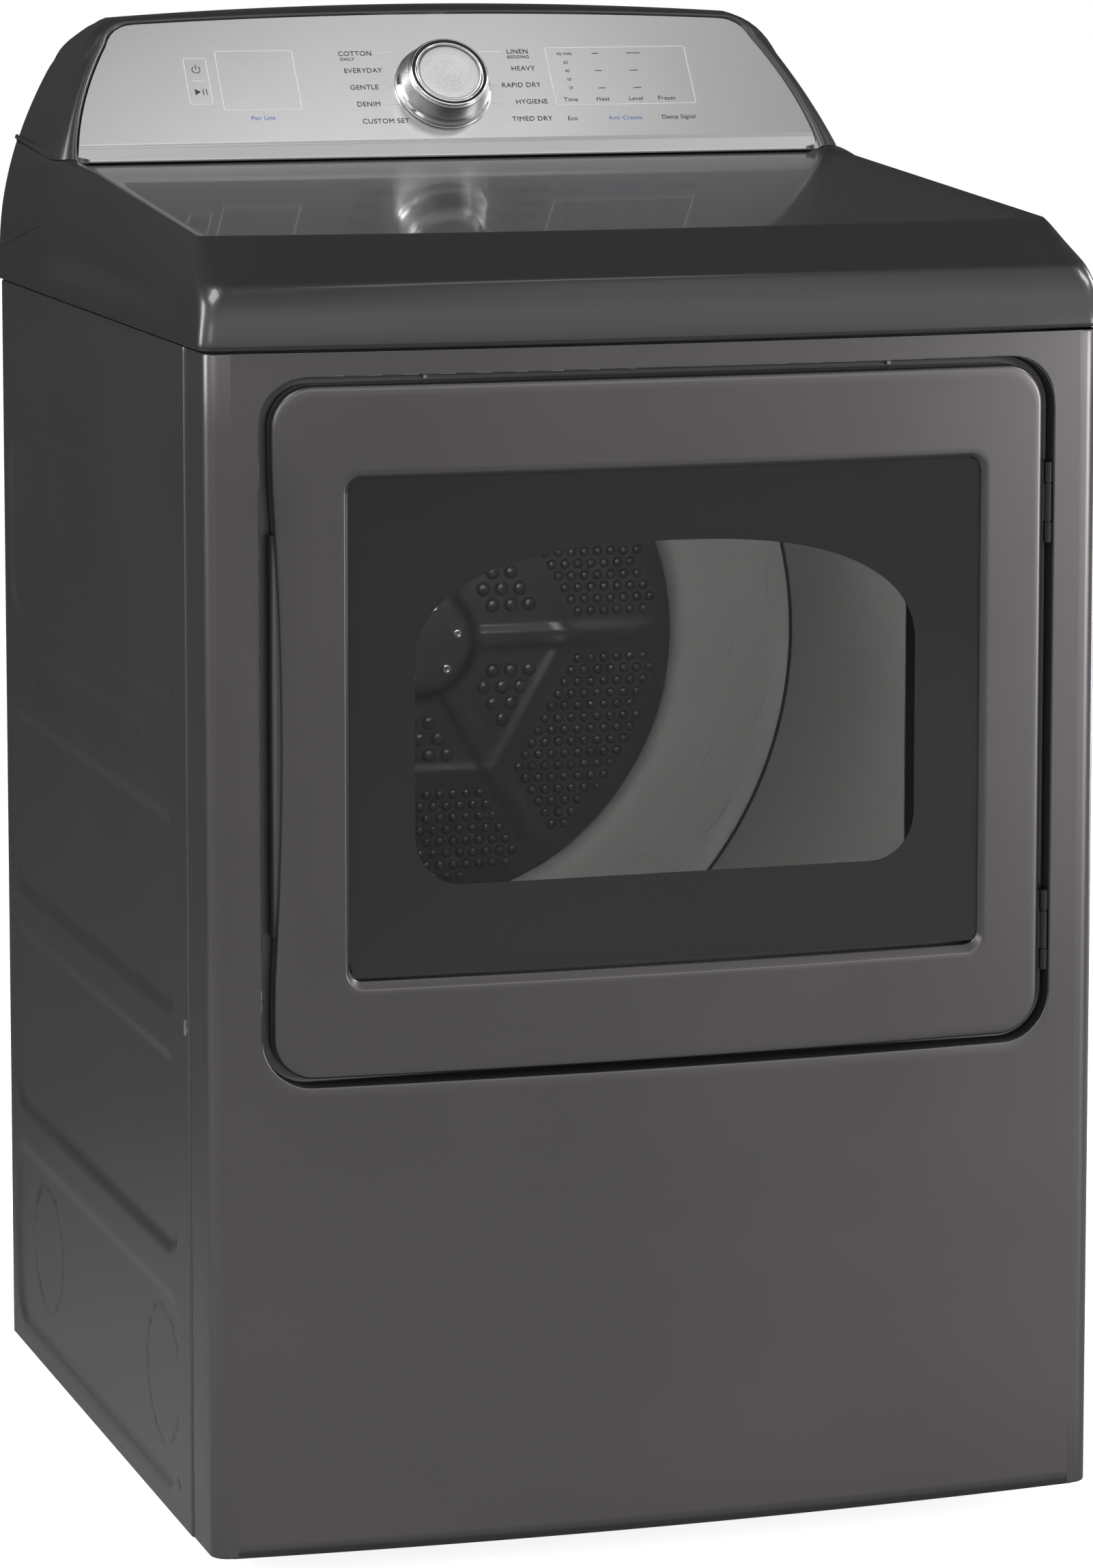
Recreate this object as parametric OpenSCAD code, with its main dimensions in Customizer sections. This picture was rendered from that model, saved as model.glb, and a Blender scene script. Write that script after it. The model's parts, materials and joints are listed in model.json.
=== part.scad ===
// Front-loading clothes dryer, 27 inch class, vented, with a raised rear console.
// Millimetres. Modelled with Y = 0 at the cabinet's front corners and Z = 0 at the
// cabinet's lower edge, then placed so that the floor is Z = 0.

/* [Cabinet] */
// Width over the side panels
cab_w = 686; // [680:1:690]
// Depth of the side panels
cab_d = 681; // [679:1:685]
// Height of the side and front panels
cab_h = 881; // [879:1:883]
// Sheet thickness of the cabinet panels
sheet = 1; // [0.8:0.1:1.2]
// How far the front bows forward at its middle
bow_depth = 16.5; // [14:0.5:18]
// Gap between the cabinet and the floor
foot_gap = 22; // [20:1:26]

/* [Door] */
// Half width of the door
door_half = 296; // [294:1:297]
// Lower edge of the door
door_z0 = 353; // [351:1:355]
// Upper edge of the door
door_z1 = 857; // [855:1:858]
// Depth of the finger scoop in the door's free edge
scoop = 6.7; // [4:0.1:8]
// Back face of the door's outer shell
door_back = 10; // [9:0.5:10.5]

/* [Drum] */
// Inner radius of the drum
drum_r = 322; // [318:1:322]
// Height of the drum's axis
drum_z = 573; // [571:1:575]
// Front edge of the drum
drum_y0 = 100; // [100:1:104]
// Rear face of the drum
drum_y1 = 650; // [648:1:650]

/* [Console] */
// Lean of the control fascia from upright, in degrees
lean = 36.05; // [35:0.05:37]
// Height of the fascia's lower edge
fascia_z = 986.8; // [986:0.1:988]
// Position of the fascia's lower edge behind the cabinet's front corners
fascia_y = 531.7; // [530:0.1:533]

/* [Exhaust] */
// Outer radius of the exhaust outlet, for 4 inch duct
duct_r = 51; // [50:0.5:51]
// Height of the exhaust axis above the cabinet's lower edge
duct_z = 100; // [96:1:104]

/* [Hidden] */
half = cab_w / 2;
y_mid = 353.5;
eps = 0.01;
facets = 64;
$fn = facets;

// Door recess in the front panel
rec_half = 304.5;
rec_z0 = 347;
rec_z1 = 863;
rec_floor = 12;
rec_r = 36;

// Throat between the front panel and the drum
throat_half = 235;
throat_z0 = 425;
throat_z1 = 775;
throat_wall = 3;
bulk_y = 74;
ring_r = 287;

// Window in the door
win_x0 = -243;
win_x1 = 249.6;
win_z0 = 417.4;
win_z1 = 792.5;
win_bevel = 5.5;
window_step = 6;
glass_set = 7.5;

// Door plug
plug_gap = 6;
plug_y1 = 36;

// Hinge line of the door
hinge_x = 301;
hinge_y = -1;
pin_r = 2;
knuckle_r = 3;
knuckle_h = 28;
hinge_zs = [430, 753];
fit = 0.05;

// Drum and its drive
shell_r = drum_r + 1;
plate_r = 228;
shaft_r = 9.5;
motor_x = 150;
motor_z = 130;
rotor_r = 6;
pulley_r = 12;
belt_y = 337;
belt_w = 8;
belt_t = 2.5;
belt_gap = 0.3;
idler_r = 15;
idler_x = 77.34;
idler_z = 137;
arm_x = 100;
arm_z = 50;

// Lint filter
filter_half = 148;
filter_y0 = 44;
filter_y1 = 66;
filter_z0 = 250;
filter_z1 = 432;

// Blower
blower_r = 100;
blower_y0 = 71;
blower_y1 = 142;
casing = 2.5;

// Rear
rear_y = cab_d - sheet;
heater_r = 300;
heater_y1 = 701;
bulge_r = 308;
bulge_y = 712;
outlet_y = 727.5;

// Power cord inlet under the terminal cover
inlet_x = -250;
inlet_z = 96;
inlet_r = 14;

// Control knob, up the fascia from its lower edge
knob_s = 63.3;

// Levelling feet
foot_x = 290;
foot_ys = [90, 620];
stem_r = 5;

// ---------------------------------------------------------------- helpers

module place() translate([0, -y_mid, foot_gap]) children();

// Extrudes a shape drawn in X and Z from y0 back to y1
module along_y(y0, y1) translate([0, y1, 0]) rotate([90, 0, 0]) linear_extrude(y1 - y0) children();

module box(x0, y0, z0, x1, y1, z1) translate([x0, y0, z0]) cube([x1 - x0, y1 - y0, z1 - z0]);

// Round bar along Y, Z or X
module rod_y(x, z, r, y0, y1) translate([x, y0, z]) rotate([-90, 0, 0]) cylinder(h = y1 - y0, r = r);
module rod_z(x, y, r, z0, z1) translate([x, y, z0]) cylinder(h = z1 - z0, r = r);
module rod_x(y, z, r, x0, x1) translate([x0, y, z]) rotate([0, 90, 0]) cylinder(h = x1 - x0, r = r);

module tube_y(x, z, r_out, r_in, y0, y1) difference() {
  rod_y(x, z, r_out, y0, y1);
  rod_y(x, z, r_in, y0 - 1, y1 + 1);
}

// Rounded rectangle with its own radius at the top and at the bottom
module rrect(x0, z0, x1, z1, r, r_top = 0) {
  rt = r_top > 0 ? r_top : r;
  translate([x0 + r, z0]) square([x1 - x0 - 2 * r, z1 - z0 - rt]);
  translate([x0 + rt, z1 - rt - eps]) square([x1 - x0 - 2 * rt, rt + eps]);
  translate([x0, z0 + r]) square([x1 - x0, z1 - z0 - r - rt]);
  for (x = [x0 + r, x1 - r]) translate([x, z0 + r]) circle(r);
  for (x = [x0 + rt, x1 - rt]) translate([x, z1 - rt]) circle(rt);
}

function arc(cx, cy, r, a0, a1, n = 6) =
  [for (i = [0:n]) let (a = a0 + (a1 - a0) * i / n) [cx + r * cos(a), cy + r * sin(a)]];

// Depth of a bowed front at x
function bowed(x, w, y0, b) = y0 - b * (1 - pow(x / w, 2));

// Bowed front with rounded corners, from its left end to its right end
function bow_line(w, y0, b, r, n = 20) = concat(
  arc(-w + r, bowed(-w + r, w, y0, b) + r, r, 180, 270),
  [for (i = [1:n - 1]) let (x = (-w + r) + 2 * (w - r) * i / n) [x, bowed(x, w, y0, b)]],
  arc(w - r, bowed(w - r, w, y0, b) + r, r, 270, 360)
);

function bow_area(w, y0, b, r, back) = concat(bow_line(w, y0, b, r), [[w, back], [-w, back]]);

// Everything behind a surface that lies 'inset' behind the cabinet's bowed front
module behind_front(inset, back, z0, z1)
  translate([0, 0, z0]) linear_extrude(z1 - z0)
    polygon(bow_area(half - inset, inset, bow_depth, 12 - inset, back));

// Local frame on the fascia: X across, Y up its slope, Z out of its face
module on_fascia() translate([0, fascia_y, fascia_z]) rotate([90 - lean, 0, 0]) children();

// ---------------------------------------------------------------- cabinet

// Depth of the folded flange behind each side panel
flange_w = 12;

module base_pan() color("silver") {
  floor_z = 8;
  rail_x = 240;
  difference() {
    union() {
      box(-half + 1, 3, floor_z, half - 1, rear_y, floor_z + 1.5);
      for (s = [-1, 1]) {
        box(s * rail_x - 12, 4, floor_z + 1.5, s * rail_x + 12, rear_y - 2, floor_z + 14);
        for (y = foot_ys) rod_z(s * foot_x, y, 12, 2, floor_z + 16);
      }
    }
    for (s = [-1, 1]) {
      box(s * rail_x - 10.5, 2, floor_z - 1, s * rail_x + 10.5, rear_y, floor_z + 12.5);
      for (y = foot_ys) rod_z(s * foot_x, y, stem_r + fit, 0, floor_z + 20);
    }
    box(-120, 420, floor_z - 1, 120, 560, floor_z + 3);
    for (s = [-1, 1]) {
      translate([s * half, 0, 0]) box(-14, 0, floor_z - 1, 14, 20, floor_z + 3);
      translate([s * half, rear_y - flange_w, 0]) box(-2.1, -1, floor_z - 1, 2.1, flange_w + 1, floor_z + 3);
    }
  }
}

// Pressed beads in a side panel: [y0, y1, z0, z1]
bead_rows = [[105, 655, 615, 766], [105, 655, 385, 529], [105, 655, 203, 349], [105, 655, 20, 166],
  [195, 565, 560, 587]];
bead_depth = 3;

module bead_shapes(grow) for (b = bead_rows)
  rrect(b[0] - grow, b[2] - grow, b[1] + grow, b[3] + grow, min(22, (b[3] - b[2]) / 2 - 1) + grow);

// The shape is drawn in Y and Z and extruded across X from x0 to x1
module along_x(x0, x1) translate([x0, 0, 0]) rotate([90, 0, 90]) linear_extrude(x1 - x0) children();

module side_panel() difference() {
  union() {
    box(-half, 62, 0, -half + sheet, rear_y, cab_h);
    along_x(-half + sheet, -half + bead_depth + sheet) bead_shapes(sheet);
    box(-half + sheet, rear_y - flange_w, 1, -half + 2 * sheet, rear_y, cab_h);
    box(-half + sheet, 63, cab_h - sheet, -half + 14, rear_y, cab_h);
  }
  along_x(-half - 1, -half + bead_depth) bead_shapes(0);
}

module side_panel_left() color("dimgray") side_panel();
module side_panel_right() color("dimgray") mirror([1, 0, 0]) side_panel();

module rear_panel() color("gray") difference() {
  union() {
    box(-half + sheet, rear_y, 0, half - sheet, cab_d, cab_h);
    rod_y(0, drum_z, bulge_r, rear_y, bulge_y);
  }
  rod_y(0, drum_z, bulge_r - sheet, rear_y - 1, bulge_y - sheet);
  rod_y(0, duct_z, duct_r + 0.5, rear_y - 1, cab_d + 1);
  rod_y(inlet_x, 130, inlet_r, rear_y - 1, cab_d + 1);
  for (i = [0:11]) translate([-200 + i * 14, 0, 0]) box(0, rear_y - 1, 190, 5, cab_d + 1, 240);
  for (i = [0:11]) translate([46 + i * 14, 0, 0]) box(0, rear_y - 1, 190, 5, cab_d + 1, 240);
}

module throat_shape(grow = 0) rrect(-throat_half - grow, throat_z0 - grow, throat_half + grow,
  throat_z1 + grow, 60 + grow, 100 + grow);

module recess_shape(grow = 0)
  rrect(-rec_half - grow, rec_z0 - grow, rec_half + grow, rec_z1 + grow, rec_r + grow);

module front_panel() color([0.3, 0.29, 0.3]) {
  difference() {
    behind_front(0, 62, 0, cab_h);
    difference() {
      behind_front(sheet, 63, sheet, cab_h - sheet);
      along_y(-30, rec_floor + sheet) recess_shape(sheet);
    }
    box(-half + 20, 24, -1, half - 20, 70, cab_h + 1);
    along_y(-30, rec_floor) recess_shape();
    along_y(0, 30) throat_shape();
    box(-274, 0, 594, -250, 30, 612);
    rod_y(270, 820, 5, 0, 30);
  }
}

lip_z = 883;

// Outer form of the top cover, shrunk by 'inset' and with its deck lowered by 'drop'
module cover_form(inset, drop) hull() {
  translate([0, 0, lip_z - inset]) linear_extrude(22)
    polygon(bow_area(347.4 - inset, -4 + inset, bow_depth, 16, cab_d - inset));
  translate([0, 0, 926 - inset]) linear_extrude(1)
    polygon(bow_area(342 - inset, 12 + inset, bow_depth, 16, cab_d - inset));
  translate([0, 0, 958 - drop]) linear_extrude(1)
    polygon(bow_area(328 - inset, 78 + inset, 26.5, 6, 100));
  box(-317 + inset, 510, 986 - drop, 317 - inset, 511, 987 - drop);
  box(-317 + inset, cab_d - 1 - inset, 996 - drop, 317 - inset, cab_d - inset, 997 - drop);
}

deck_rise = atan(28 / 437);

// Everything above the deck, from its front crease to the rear
module above_deck(lift) translate([0, 73, 959 + lift]) rotate([deck_rise, 0, 0])
  translate([-400, -200, 0]) cube([800, 1000, 300]);

module top_cover() color([0.27, 0.26, 0.27]) difference() {
  union() {
    difference() {
      cover_form(0, 0);
      cover_form(2.5, 9);
    }
    intersection() {
      cover_form(1, 1);
      for (s = [-1, 1], y = [110, 610]) box(s * 333 - 5, y, cab_h + 1, s * 333 + 5, y + 24, 970);
    }
  }
  intersection() {
    above_deck(-5);
    translate([0, 0, 900]) linear_extrude(150)
      polygon(concat([for (i = [-8:8]) [317 * i / 8, 60 + 26 * pow(i / 8, 2)]], [[312, 538], [-312, 538]]));
  }
}

// ---------------------------------------------------------------- console

// Half width of the fascia at height s up its slope
function fascia_half(s) = 312 - 0.12 * s - 0.0021 * s * s;
fascia_top = 135.7;
fascia_corner = 256;

console_wall = 3.5;

// Fascia outline, widened by 'grow' at its sides and bottom and by 'rise' at its crown
function fascia_outline(grow = 0, rise = 0) = let (
  side = [for (s = [-grow, 20, 40, 80, 110, 124 + rise]) [fascia_half(max(s, 0)) + grow, s]],
  crown = [for (i = [0:8]) let (x = fascia_corner * (1 - i / 4))
    [x, fascia_top + rise - 7.7 * pow(x / fascia_corner, 2)]]
) concat(side, crown, [for (i = [len(side) - 1:-1:0]) [-side[i][0], side[i][1]]]);

// Half width of the console's back at height z
function back_half(z) = 345 - 0.0019 * pow(z - 905, 2);
back_corner = [250, 1047, 47.5];

crest_y = 640;
crest_z = 1104.2;
crest_half = 262;
rear_drop = 8.6;

// Section of the console across its width, shrunk by 'inset'
function console_outline(inset = 0) = let (
  right = concat([for (z = [905:26:1061]) [back_half(z) - inset, z]],
    arc(back_corner[0], back_corner[1], back_corner[2] - inset, 30, 75, 5),
    [for (x = [220, 130, 60]) [x, crest_z - 7.2 * pow(x / crest_half, 2) - inset]])
) concat(right, [[0, crest_z - inset]], [for (i = [len(right) - 1:-1:0]) [-right[i][0], right[i][1]]]);

// Console shape behind its leaning front and under its sloping rear top
module console_form(inset, back) difference() {
  intersection() {
    along_y(500, back) polygon(console_outline(inset));
    on_fascia() translate([-400, -150, -300 - inset]) cube([800, 400, 300]);
  }
  translate([-400, crest_y, crest_z - inset]) rotate([-atan(rear_drop / (cab_d - crest_y)), 0, 0])
    cube([800, 120, 60]);
}

// The same section seen square to the fascia, as x and height up its slope
function console_front(inset) =
  [for (p = console_outline(inset)) [p[0], (p[1] - fascia_z) / cos(lean)]];

shell_step = 0.2;

// Bent sheet of the console: both sides, the corners and the crown
module console_sheet() difference() {
  intersection() {
    along_y(500, cab_d) difference() {
      polygon(console_outline(0));
      polygon(concat([[-337, 880], [337, 880]], console_outline(console_wall)));
    }
    on_fascia() translate([-400, -150, -300]) cube([800, 400, 300]);
  }
  rear_fall(0) cube([800, 120, 60]);
}

// Start of the sloping rear of the crown, lowered by 'inset'
module rear_fall(inset) translate([-400, crest_y, crest_z - inset])
  rotate([-atan(rear_drop / (cab_d - crest_y)), 0, 0]) children();

module console_housing() color([0.2, 0.2, 0.2]) intersection() {
  above_deck(0);
  union() {
    console_sheet();
    intersection() {
      along_y(620, cab_d - 0.3) polygon(console_outline(1.5));
      rear_fall(console_wall) translate([0, -15, 0]) cube([800, 90, console_wall - shell_step]);
    }
    on_fascia() difference() {
      translate([0, 0, -6]) linear_extrude(6 - shell_step) polygon(console_front(1.6));
      translate([0, 0, -3]) linear_extrude(8) polygon(fascia_outline(0.4, 0.4));
      translate([0, 0, -12]) linear_extrude(14) polygon(fascia_outline(-5, -5));
    }
  }
}

module console_rear_cover() color("gray") intersection() {
  console_form(console_wall + 0.3, cab_d);
  box(-400, cab_d - 1.4, 900, 400, cab_d, 1200);
  above_deck(0.5);
}

windows = [[-213, 51, -194, 95.5], [-186, 45, -121, 102], [93.5, 45, 214.5, 101.3]];

module control_fascia() color("lightgray") on_fascia() difference() {
  translate([0, 0, -3]) linear_extrude(3) polygon(fascia_outline());
  translate([0, knob_s, -4]) cylinder(h = 6, r = 4);
  for (w = windows) translate([0, 0, -0.8]) linear_extrude(2) rrect(w[0], w[1], w[2], w[3], 2);
}

module control_windows() color("silver") on_fascia() for (w = windows)
  translate([0, 0, -0.8]) linear_extrude(0.8) rrect(w[0] + 0.1, w[1] + 0.1, w[2] - 0.1, w[3] - 0.1, 1.9);

module control_board() color("darkgreen") on_fascia() {
  difference() {
    translate([-220, 30, -24]) cube([440, 70, 1.6]);
    translate([0, knob_s, -30]) cylinder(h = 20, r = 5);
  }
  for (x = [-180, -60, 60, 180]) translate([x, 45, -22.4]) cube([24, 24, 8]);
}

module knob_encoder() color("black") on_fascia() translate([0, knob_s, 0]) difference() {
  union() {
    translate([0, 0, -22]) cylinder(h = 12, r = 10);
    translate([0, 0, -10]) cylinder(h = 5, r = 5);
  }
  translate([0, 0, -19]) cylinder(h = 20, r = 3 + fit);
}

module knob_grip() color("darkgray") on_fascia() translate([0, knob_s, 0]) difference() {
  union() {
    translate([0, 0, 0.8]) cylinder(h = 3, r = 40);
    translate([0, 0, 3.8]) cylinder(h = 4, r1 = 40, r2 = 37);
    translate([0, 0, 7.8]) cylinder(h = 14.2, r1 = 36, r2 = 33);
    translate([0, 0, -18]) cylinder(h = 20, r = 3);
  }
  translate([0, 0, 18]) cylinder(h = 6, r = 32);
  for (i = [0:47]) rotate(i * 7.5) translate([37.3, 0, 14]) rotate([0, -12, 0]) cube([3, 1.6, 14], true);
}

module knob_ring() color("white") on_fascia() translate([0, knob_s, 18]) difference() {
  cylinder(h = 6.6, r = 31.8);
  translate([0, 0, 1]) cylinder(h = 6, r = 27);
}

module knob_cap() color("gainsboro") on_fascia() translate([0, knob_s, 19])
  cylinder(h = 4.6, r = 26.6);

// ---------------------------------------------------------------- front structure

module front_bulkhead() color("lightgray") {
  difference() {
    box(-half + 1, bulk_y, 236, half - 1, bulk_y + 1, 876);
    along_y(bulk_y - 1, bulk_y + 2) throat_shape();
  }
  tube_y(0, drum_z, ring_r, ring_r - 1.5, bulk_y + 1, drum_y0 + 6);
  for (s = [-1, 1]) box(s * 341.5 - 0.5, 62, 236, s * 341.5 + 0.5, bulk_y, 876);
}

module door_throat() color("whitesmoke") difference() {
  along_y(rec_floor + sheet, bulk_y) throat_shape(throat_wall);
  along_y(0, 90) throat_shape();
  box(-filter_half - 4, filter_y0 - 3, 400, filter_half + 4, filter_y1 + 3, 440);
}

module ring_sector(r_in, r_out, y0, y1, a0, a1) translate([0, y1, drum_z]) rotate([90, 0, 0])
  rotate([0, 0, a0]) rotate_extrude(angle = a1 - a0, $fn = 96)
    translate([r_in, 0]) square([r_out - r_in, y1 - y0]);

module drum_seal() color("tan") ring_sector(ring_r, ring_r + 2.6, drum_y0 - 6, drum_y0 + 6, 140, 400);

module drum_glides() color("ivory") for (a = [45, 110])
  ring_sector(ring_r, ring_r + 2.6, drum_y0 - 6, drum_y0 + 6, a, a + 25);

module moisture_sensor_bars() color("silver") for (z = [398, 410])
  box(-55, bulk_y + 1, z, 55, bulk_y + 4, z + 5);

module drum_lamp() color("lemonchiffon") {
  rod_y(120, 806, 16, bulk_y + 1, bulk_y + 8);
  rod_y(120, 806, 11, bulk_y + 8, bulk_y + 16);
}

module door_switch_body() color("black") difference() {
  box(261, rec_floor + 1, 806, 279, 46, 834);
  rod_y(270, 820, 4 + fit, 0, 30);
}

module switch_plunger() color("white") {
  rod_y(270, 820, 4, door_back + 0.4, 22);
}

module door_catch() color("white") difference() {
  box(-278, rec_floor + 1, 590, -246, 44, 616);
  box(-274, 0, 594, -250, 40, 612);
}

module door_strike() color("silver") {
  box(-268, door_back, 596, -256, door_back + 1.5, 610);
  box(-266, door_back + 1.5, 600, -258, 29, 606);
}

// ---------------------------------------------------------------- door

// Door outline with its scooped free edge
module door_shape(grow = 0) difference() {
  rrect(-door_half - grow, door_z0 - grow, door_half + grow, door_z1 + grow, 30 + grow);
  translate([-grow, 0]) polygon(concat([[-330, 419]], [for (i = [0:16]) let (u = i / 8 - 1)
    [-door_half + scoop * (1 - u * u), 605 + 186 * u]], [[-330, 791]]));
}

module window_shape(grow = 0)
  rrect(win_x0 - grow, win_z0 - grow, win_x1 + grow, win_z1 + grow, 13.5 + grow);

module door_outer_panel() color([0.33, 0.32, 0.33]) difference() {
  intersection() {
    along_y(-30, door_back) door_shape();
    behind_front(0, 62, 300, 880);
  }
  difference() {
    intersection() {
      along_y(-30, door_back + 1) door_shape(-1.5);
      behind_front(1.5, 62, 300, 880);
    }
    along_y(-30, 0) window_shape(1.5);
  }
  along_y(-30, 0) window_shape(-win_bevel);
  difference() {
    along_y(-30, 0) window_shape();
    difference() {
      behind_front(window_step, 62, 300, 880);
      behind_front(glass_set, 62, 300, 880);
    }
  }
  along_y(-1.5, 30) window_shape(1.5);
}

// Glass plate, bowed like the door's face and set back from it
module door_glass() color([0.2, 0.2, 0.2, 0.6]) difference() {
  intersection() {
    along_y(-30, 20) window_shape(-0.3);
    behind_front(glass_set, 62, 300, 880);
  }
  behind_front(glass_set + 4, 62, 300, 880);
}

module plug_shape(grow = 0) rrect(-throat_half + plug_gap - grow, throat_z0 + plug_gap + 8 - grow,
  throat_half - plug_gap + grow, throat_z1 - plug_gap + grow, 55 + grow, 95 + grow);

module door_inner_liner() color("silver") difference() {
  union() {
    along_y(door_back - 2, door_back) door_shape(-1.6);
    along_y(door_back - 2, plug_y1) plug_shape();
  }
  along_y(door_back - 3, plug_y1 - 2) plug_shape(-2.5);
  along_y(0, 50) plug_shape(-26);
}

module door_inner_glass() color([0.7, 0.7, 0.7, 0.4]) along_y(plug_y1 - 6, plug_y1 - 2) plug_shape(-20);

module door_gasket() color("gray") difference() {
  along_y(door_back, rec_floor - 0.5) throat_shape(9);
  along_y(0, 20) throat_shape(3);
}

module handle_insert() color("gray") difference() {
  along_y(0.5, door_back - 2) intersection() {
    door_shape(1.4);
    translate([-320, 458]) square([60, 292]);
  }
  along_y(0, door_back) door_shape(0);
}

module door_hinges() color("dimgray") for (z = hinge_zs) difference() {
  union() {
    rod_z(hinge_x, hinge_y, knuckle_r, z - knuckle_h / 2, z + knuckle_h / 2);
    box(door_half, hinge_y - 1, z - knuckle_h / 2, hinge_x, hinge_y + 1, z + knuckle_h / 2);
    box(door_half, hinge_y - 1, z - 30, door_half + 1.2, door_back - 1, z + 30);
  }
  rod_z(hinge_x, hinge_y, pin_r + fit, z - 40, z + 40);
}

module cabinet_hinges() color("dimgray") for (z = hinge_zs) {
  rod_z(hinge_x, hinge_y, pin_r, z - 30, z + 30);
  for (s = [-1, 1]) translate([0, 0, z + s * 22.5]) {
    rod_z(hinge_x, hinge_y, knuckle_r, -7.5, 7.5);
    box(hinge_x, hinge_y - 1, -7.5, rec_half, hinge_y + 1, 7.5);
    box(rec_half - 1.2, hinge_y - 1, -7.5, rec_half, rec_floor, 7.5);
  }
}

// ---------------------------------------------------------------- drum

module drum_shell() color("lightslategray") difference() {
  union() {
    tube_y(0, drum_z, shell_r, drum_r, drum_y0, drum_y1 - 10);
    tube_y(0, drum_z, shell_r, ring_r + 3, drum_y0, drum_y0 + 1);
    translate([0, drum_y1 - 10, drum_z]) rotate([-90, 0, 0]) difference() {
      cylinder(h = 10, r1 = shell_r, r2 = shell_r - 10);
      translate([0, 0, -eps]) cylinder(h = 9, r1 = drum_r, r2 = drum_r - 9);
      cylinder(h = 20, r = plate_r, center = true);
    }
  }
  rod_y(0, drum_z, plate_r, drum_y1 - 3, drum_y1 + 1);
}

plate_holes = 24;

module drum_rear_plate() color([0.25, 0.25, 0.26]) {
  difference() {
    union() {
      rod_y(0, drum_z, plate_r, drum_y1 - 4, drum_y1);
      rod_y(0, drum_z, 46, drum_y1 - 12, drum_y1 - 4 + eps);
      for (i = [0:5]) translate([0, 0, drum_z]) rotate([0, 30 + 60 * i, 0])
        box(40, drum_y1 - 10, -6, plate_r - 6, drum_y1 - 4 + eps, 6);
    }
    for (ring = [80:25:205], i = [0:plate_holes - 1]) let (a = (i + 0.5) * 360 / plate_holes)
      if (abs((a + 60) % 60 - 30) > 5) rod_y(ring * cos(a), drum_z + ring * sin(a), 3, drum_y1 - 5, drum_y1 + 1);
    rod_y(0, drum_z, shaft_r, drum_y1 - 5, drum_y1 + 1);
  }
}

module drum_baffles() color("whitesmoke") translate([0, 0, drum_z]) for (a = [60, 180, 300])
  rotate([0, -a, 0]) along_y(drum_y0 + 20, drum_y1 - 20) intersection() {
    polygon([[265, -9], [272, -14], [330, -34], [330, 34], [272, 14], [265, 9]]);
    circle(drum_r, $fn = 128);
  }

module drum_shaft() color("silver") {
  rod_y(0, drum_z, shaft_r, drum_y1 - 5, heater_y1 + 5);
  tube_y(0, drum_z, 43, shaft_r, drum_y1, drum_y1 + 5);
}

// ---------------------------------------------------------------- heater and rear bearing

module heater_housing() color("silver") difference() {
  rod_y(0, drum_z, heater_r, 660, heater_y1);
  rod_y(0, drum_z, heater_r - 1, 659, heater_y1 - 1);
  rod_y(0, drum_z, 20, 650, heater_y1 + 1);
}

module torus(r, wire) rotate_extrude($fn = 96) translate([r, 0]) circle(wire, $fn = 24);

module heater_coil() color("peru") translate([0, 684, drum_z]) rotate([90, 0, 0]) {
  for (r = [150, 190, 230]) torus(r, 4);
  for (a = [15:60:345]) rotate(a) translate([140, -3, -8]) cube([100, 6, 12]);
}

module rear_bearing() color("brown") {
  tube_y(0, drum_z, 20, shaft_r + fit, heater_y1 - 14, heater_y1 + 4);
}

// ---------------------------------------------------------------- air path

module lint_duct() color("gainsboro") difference() {
  union() {
    box(-154, 39, 200, 154, 71, 421.9);
    box(-154, 39, 30, 254, 71, 240);
  }
  box(-152, 41, 32, 152, 69, 440);
  box(-152, 41, 32, 252, 69, 238);
  rod_y(motor_x, motor_z, 60, 60, 80);
}

module lint_filter() color("white") {
  difference() {
    box(-filter_half, filter_y0, filter_z0, filter_half, filter_y1, filter_z1);
    box(-filter_half + 8, filter_y0 + 4, filter_z0 + 8, filter_half - 8, filter_y1 - 4, filter_z1 + 1);
    for (x = [-140:20:120]) box(x + 1.5, filter_y0 - 1, filter_z0 + 8, x + 18.5, filter_y1 + 1, filter_z1 - 14);
  }
  box(-filter_half + 8, filter_y0 + 8, filter_z0 + 7, filter_half - 8, filter_y0 + 9, filter_z1 - 8);
}

module blower_housing() color("gainsboro") difference() {
  union() {
    rod_y(motor_x, motor_z, blower_r, blower_y0, blower_y1);
    box(-58, blower_y0, 42, motor_x, blower_y1, 158);
  }
  rod_y(motor_x, motor_z, blower_r - casing, blower_y0 + casing, blower_y1 - casing);
  box(-58 + casing, blower_y0 + casing, 42 + casing, motor_x, blower_y1 - casing, 158 - casing);
  rod_y(motor_x, motor_z, 60, blower_y0 - 1, blower_y0 + 10);
  rod_y(motor_x, motor_z, 14, blower_y1 - 10, blower_y1 + 1);
  rod_y(0, duct_z, duct_r - 1, blower_y1 - 10, blower_y1 + 1);
}

blower_vanes = 24;

module blower_wheel() color("black") difference() {
  union() {
    rod_y(motor_x, motor_z, 85, 126, 129);
    rod_y(motor_x, motor_z, 14, 112, 129);
    tube_y(motor_x, motor_z, 85, 79, 80, 83);
    for (i = [0:blower_vanes - 1]) translate([motor_x, 0, motor_z]) rotate([0, i * 360 / blower_vanes, 0])
      box(68, 82.9, -1, 84, 126.1, 1);
  }
  rod_y(motor_x, motor_z, rotor_r, 100, 140);
}

// The outlet collar behind the rear panel is slightly wider than the tube inside
module exhaust_duct() color("silver") {
  tube_y(0, duct_z, duct_r - 0.3, duct_r - 1, blower_y1, outlet_y);
  tube_y(0, duct_z, duct_r, duct_r - 1, cab_d + 1, outlet_y);
}

// ---------------------------------------------------------------- drive

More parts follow.
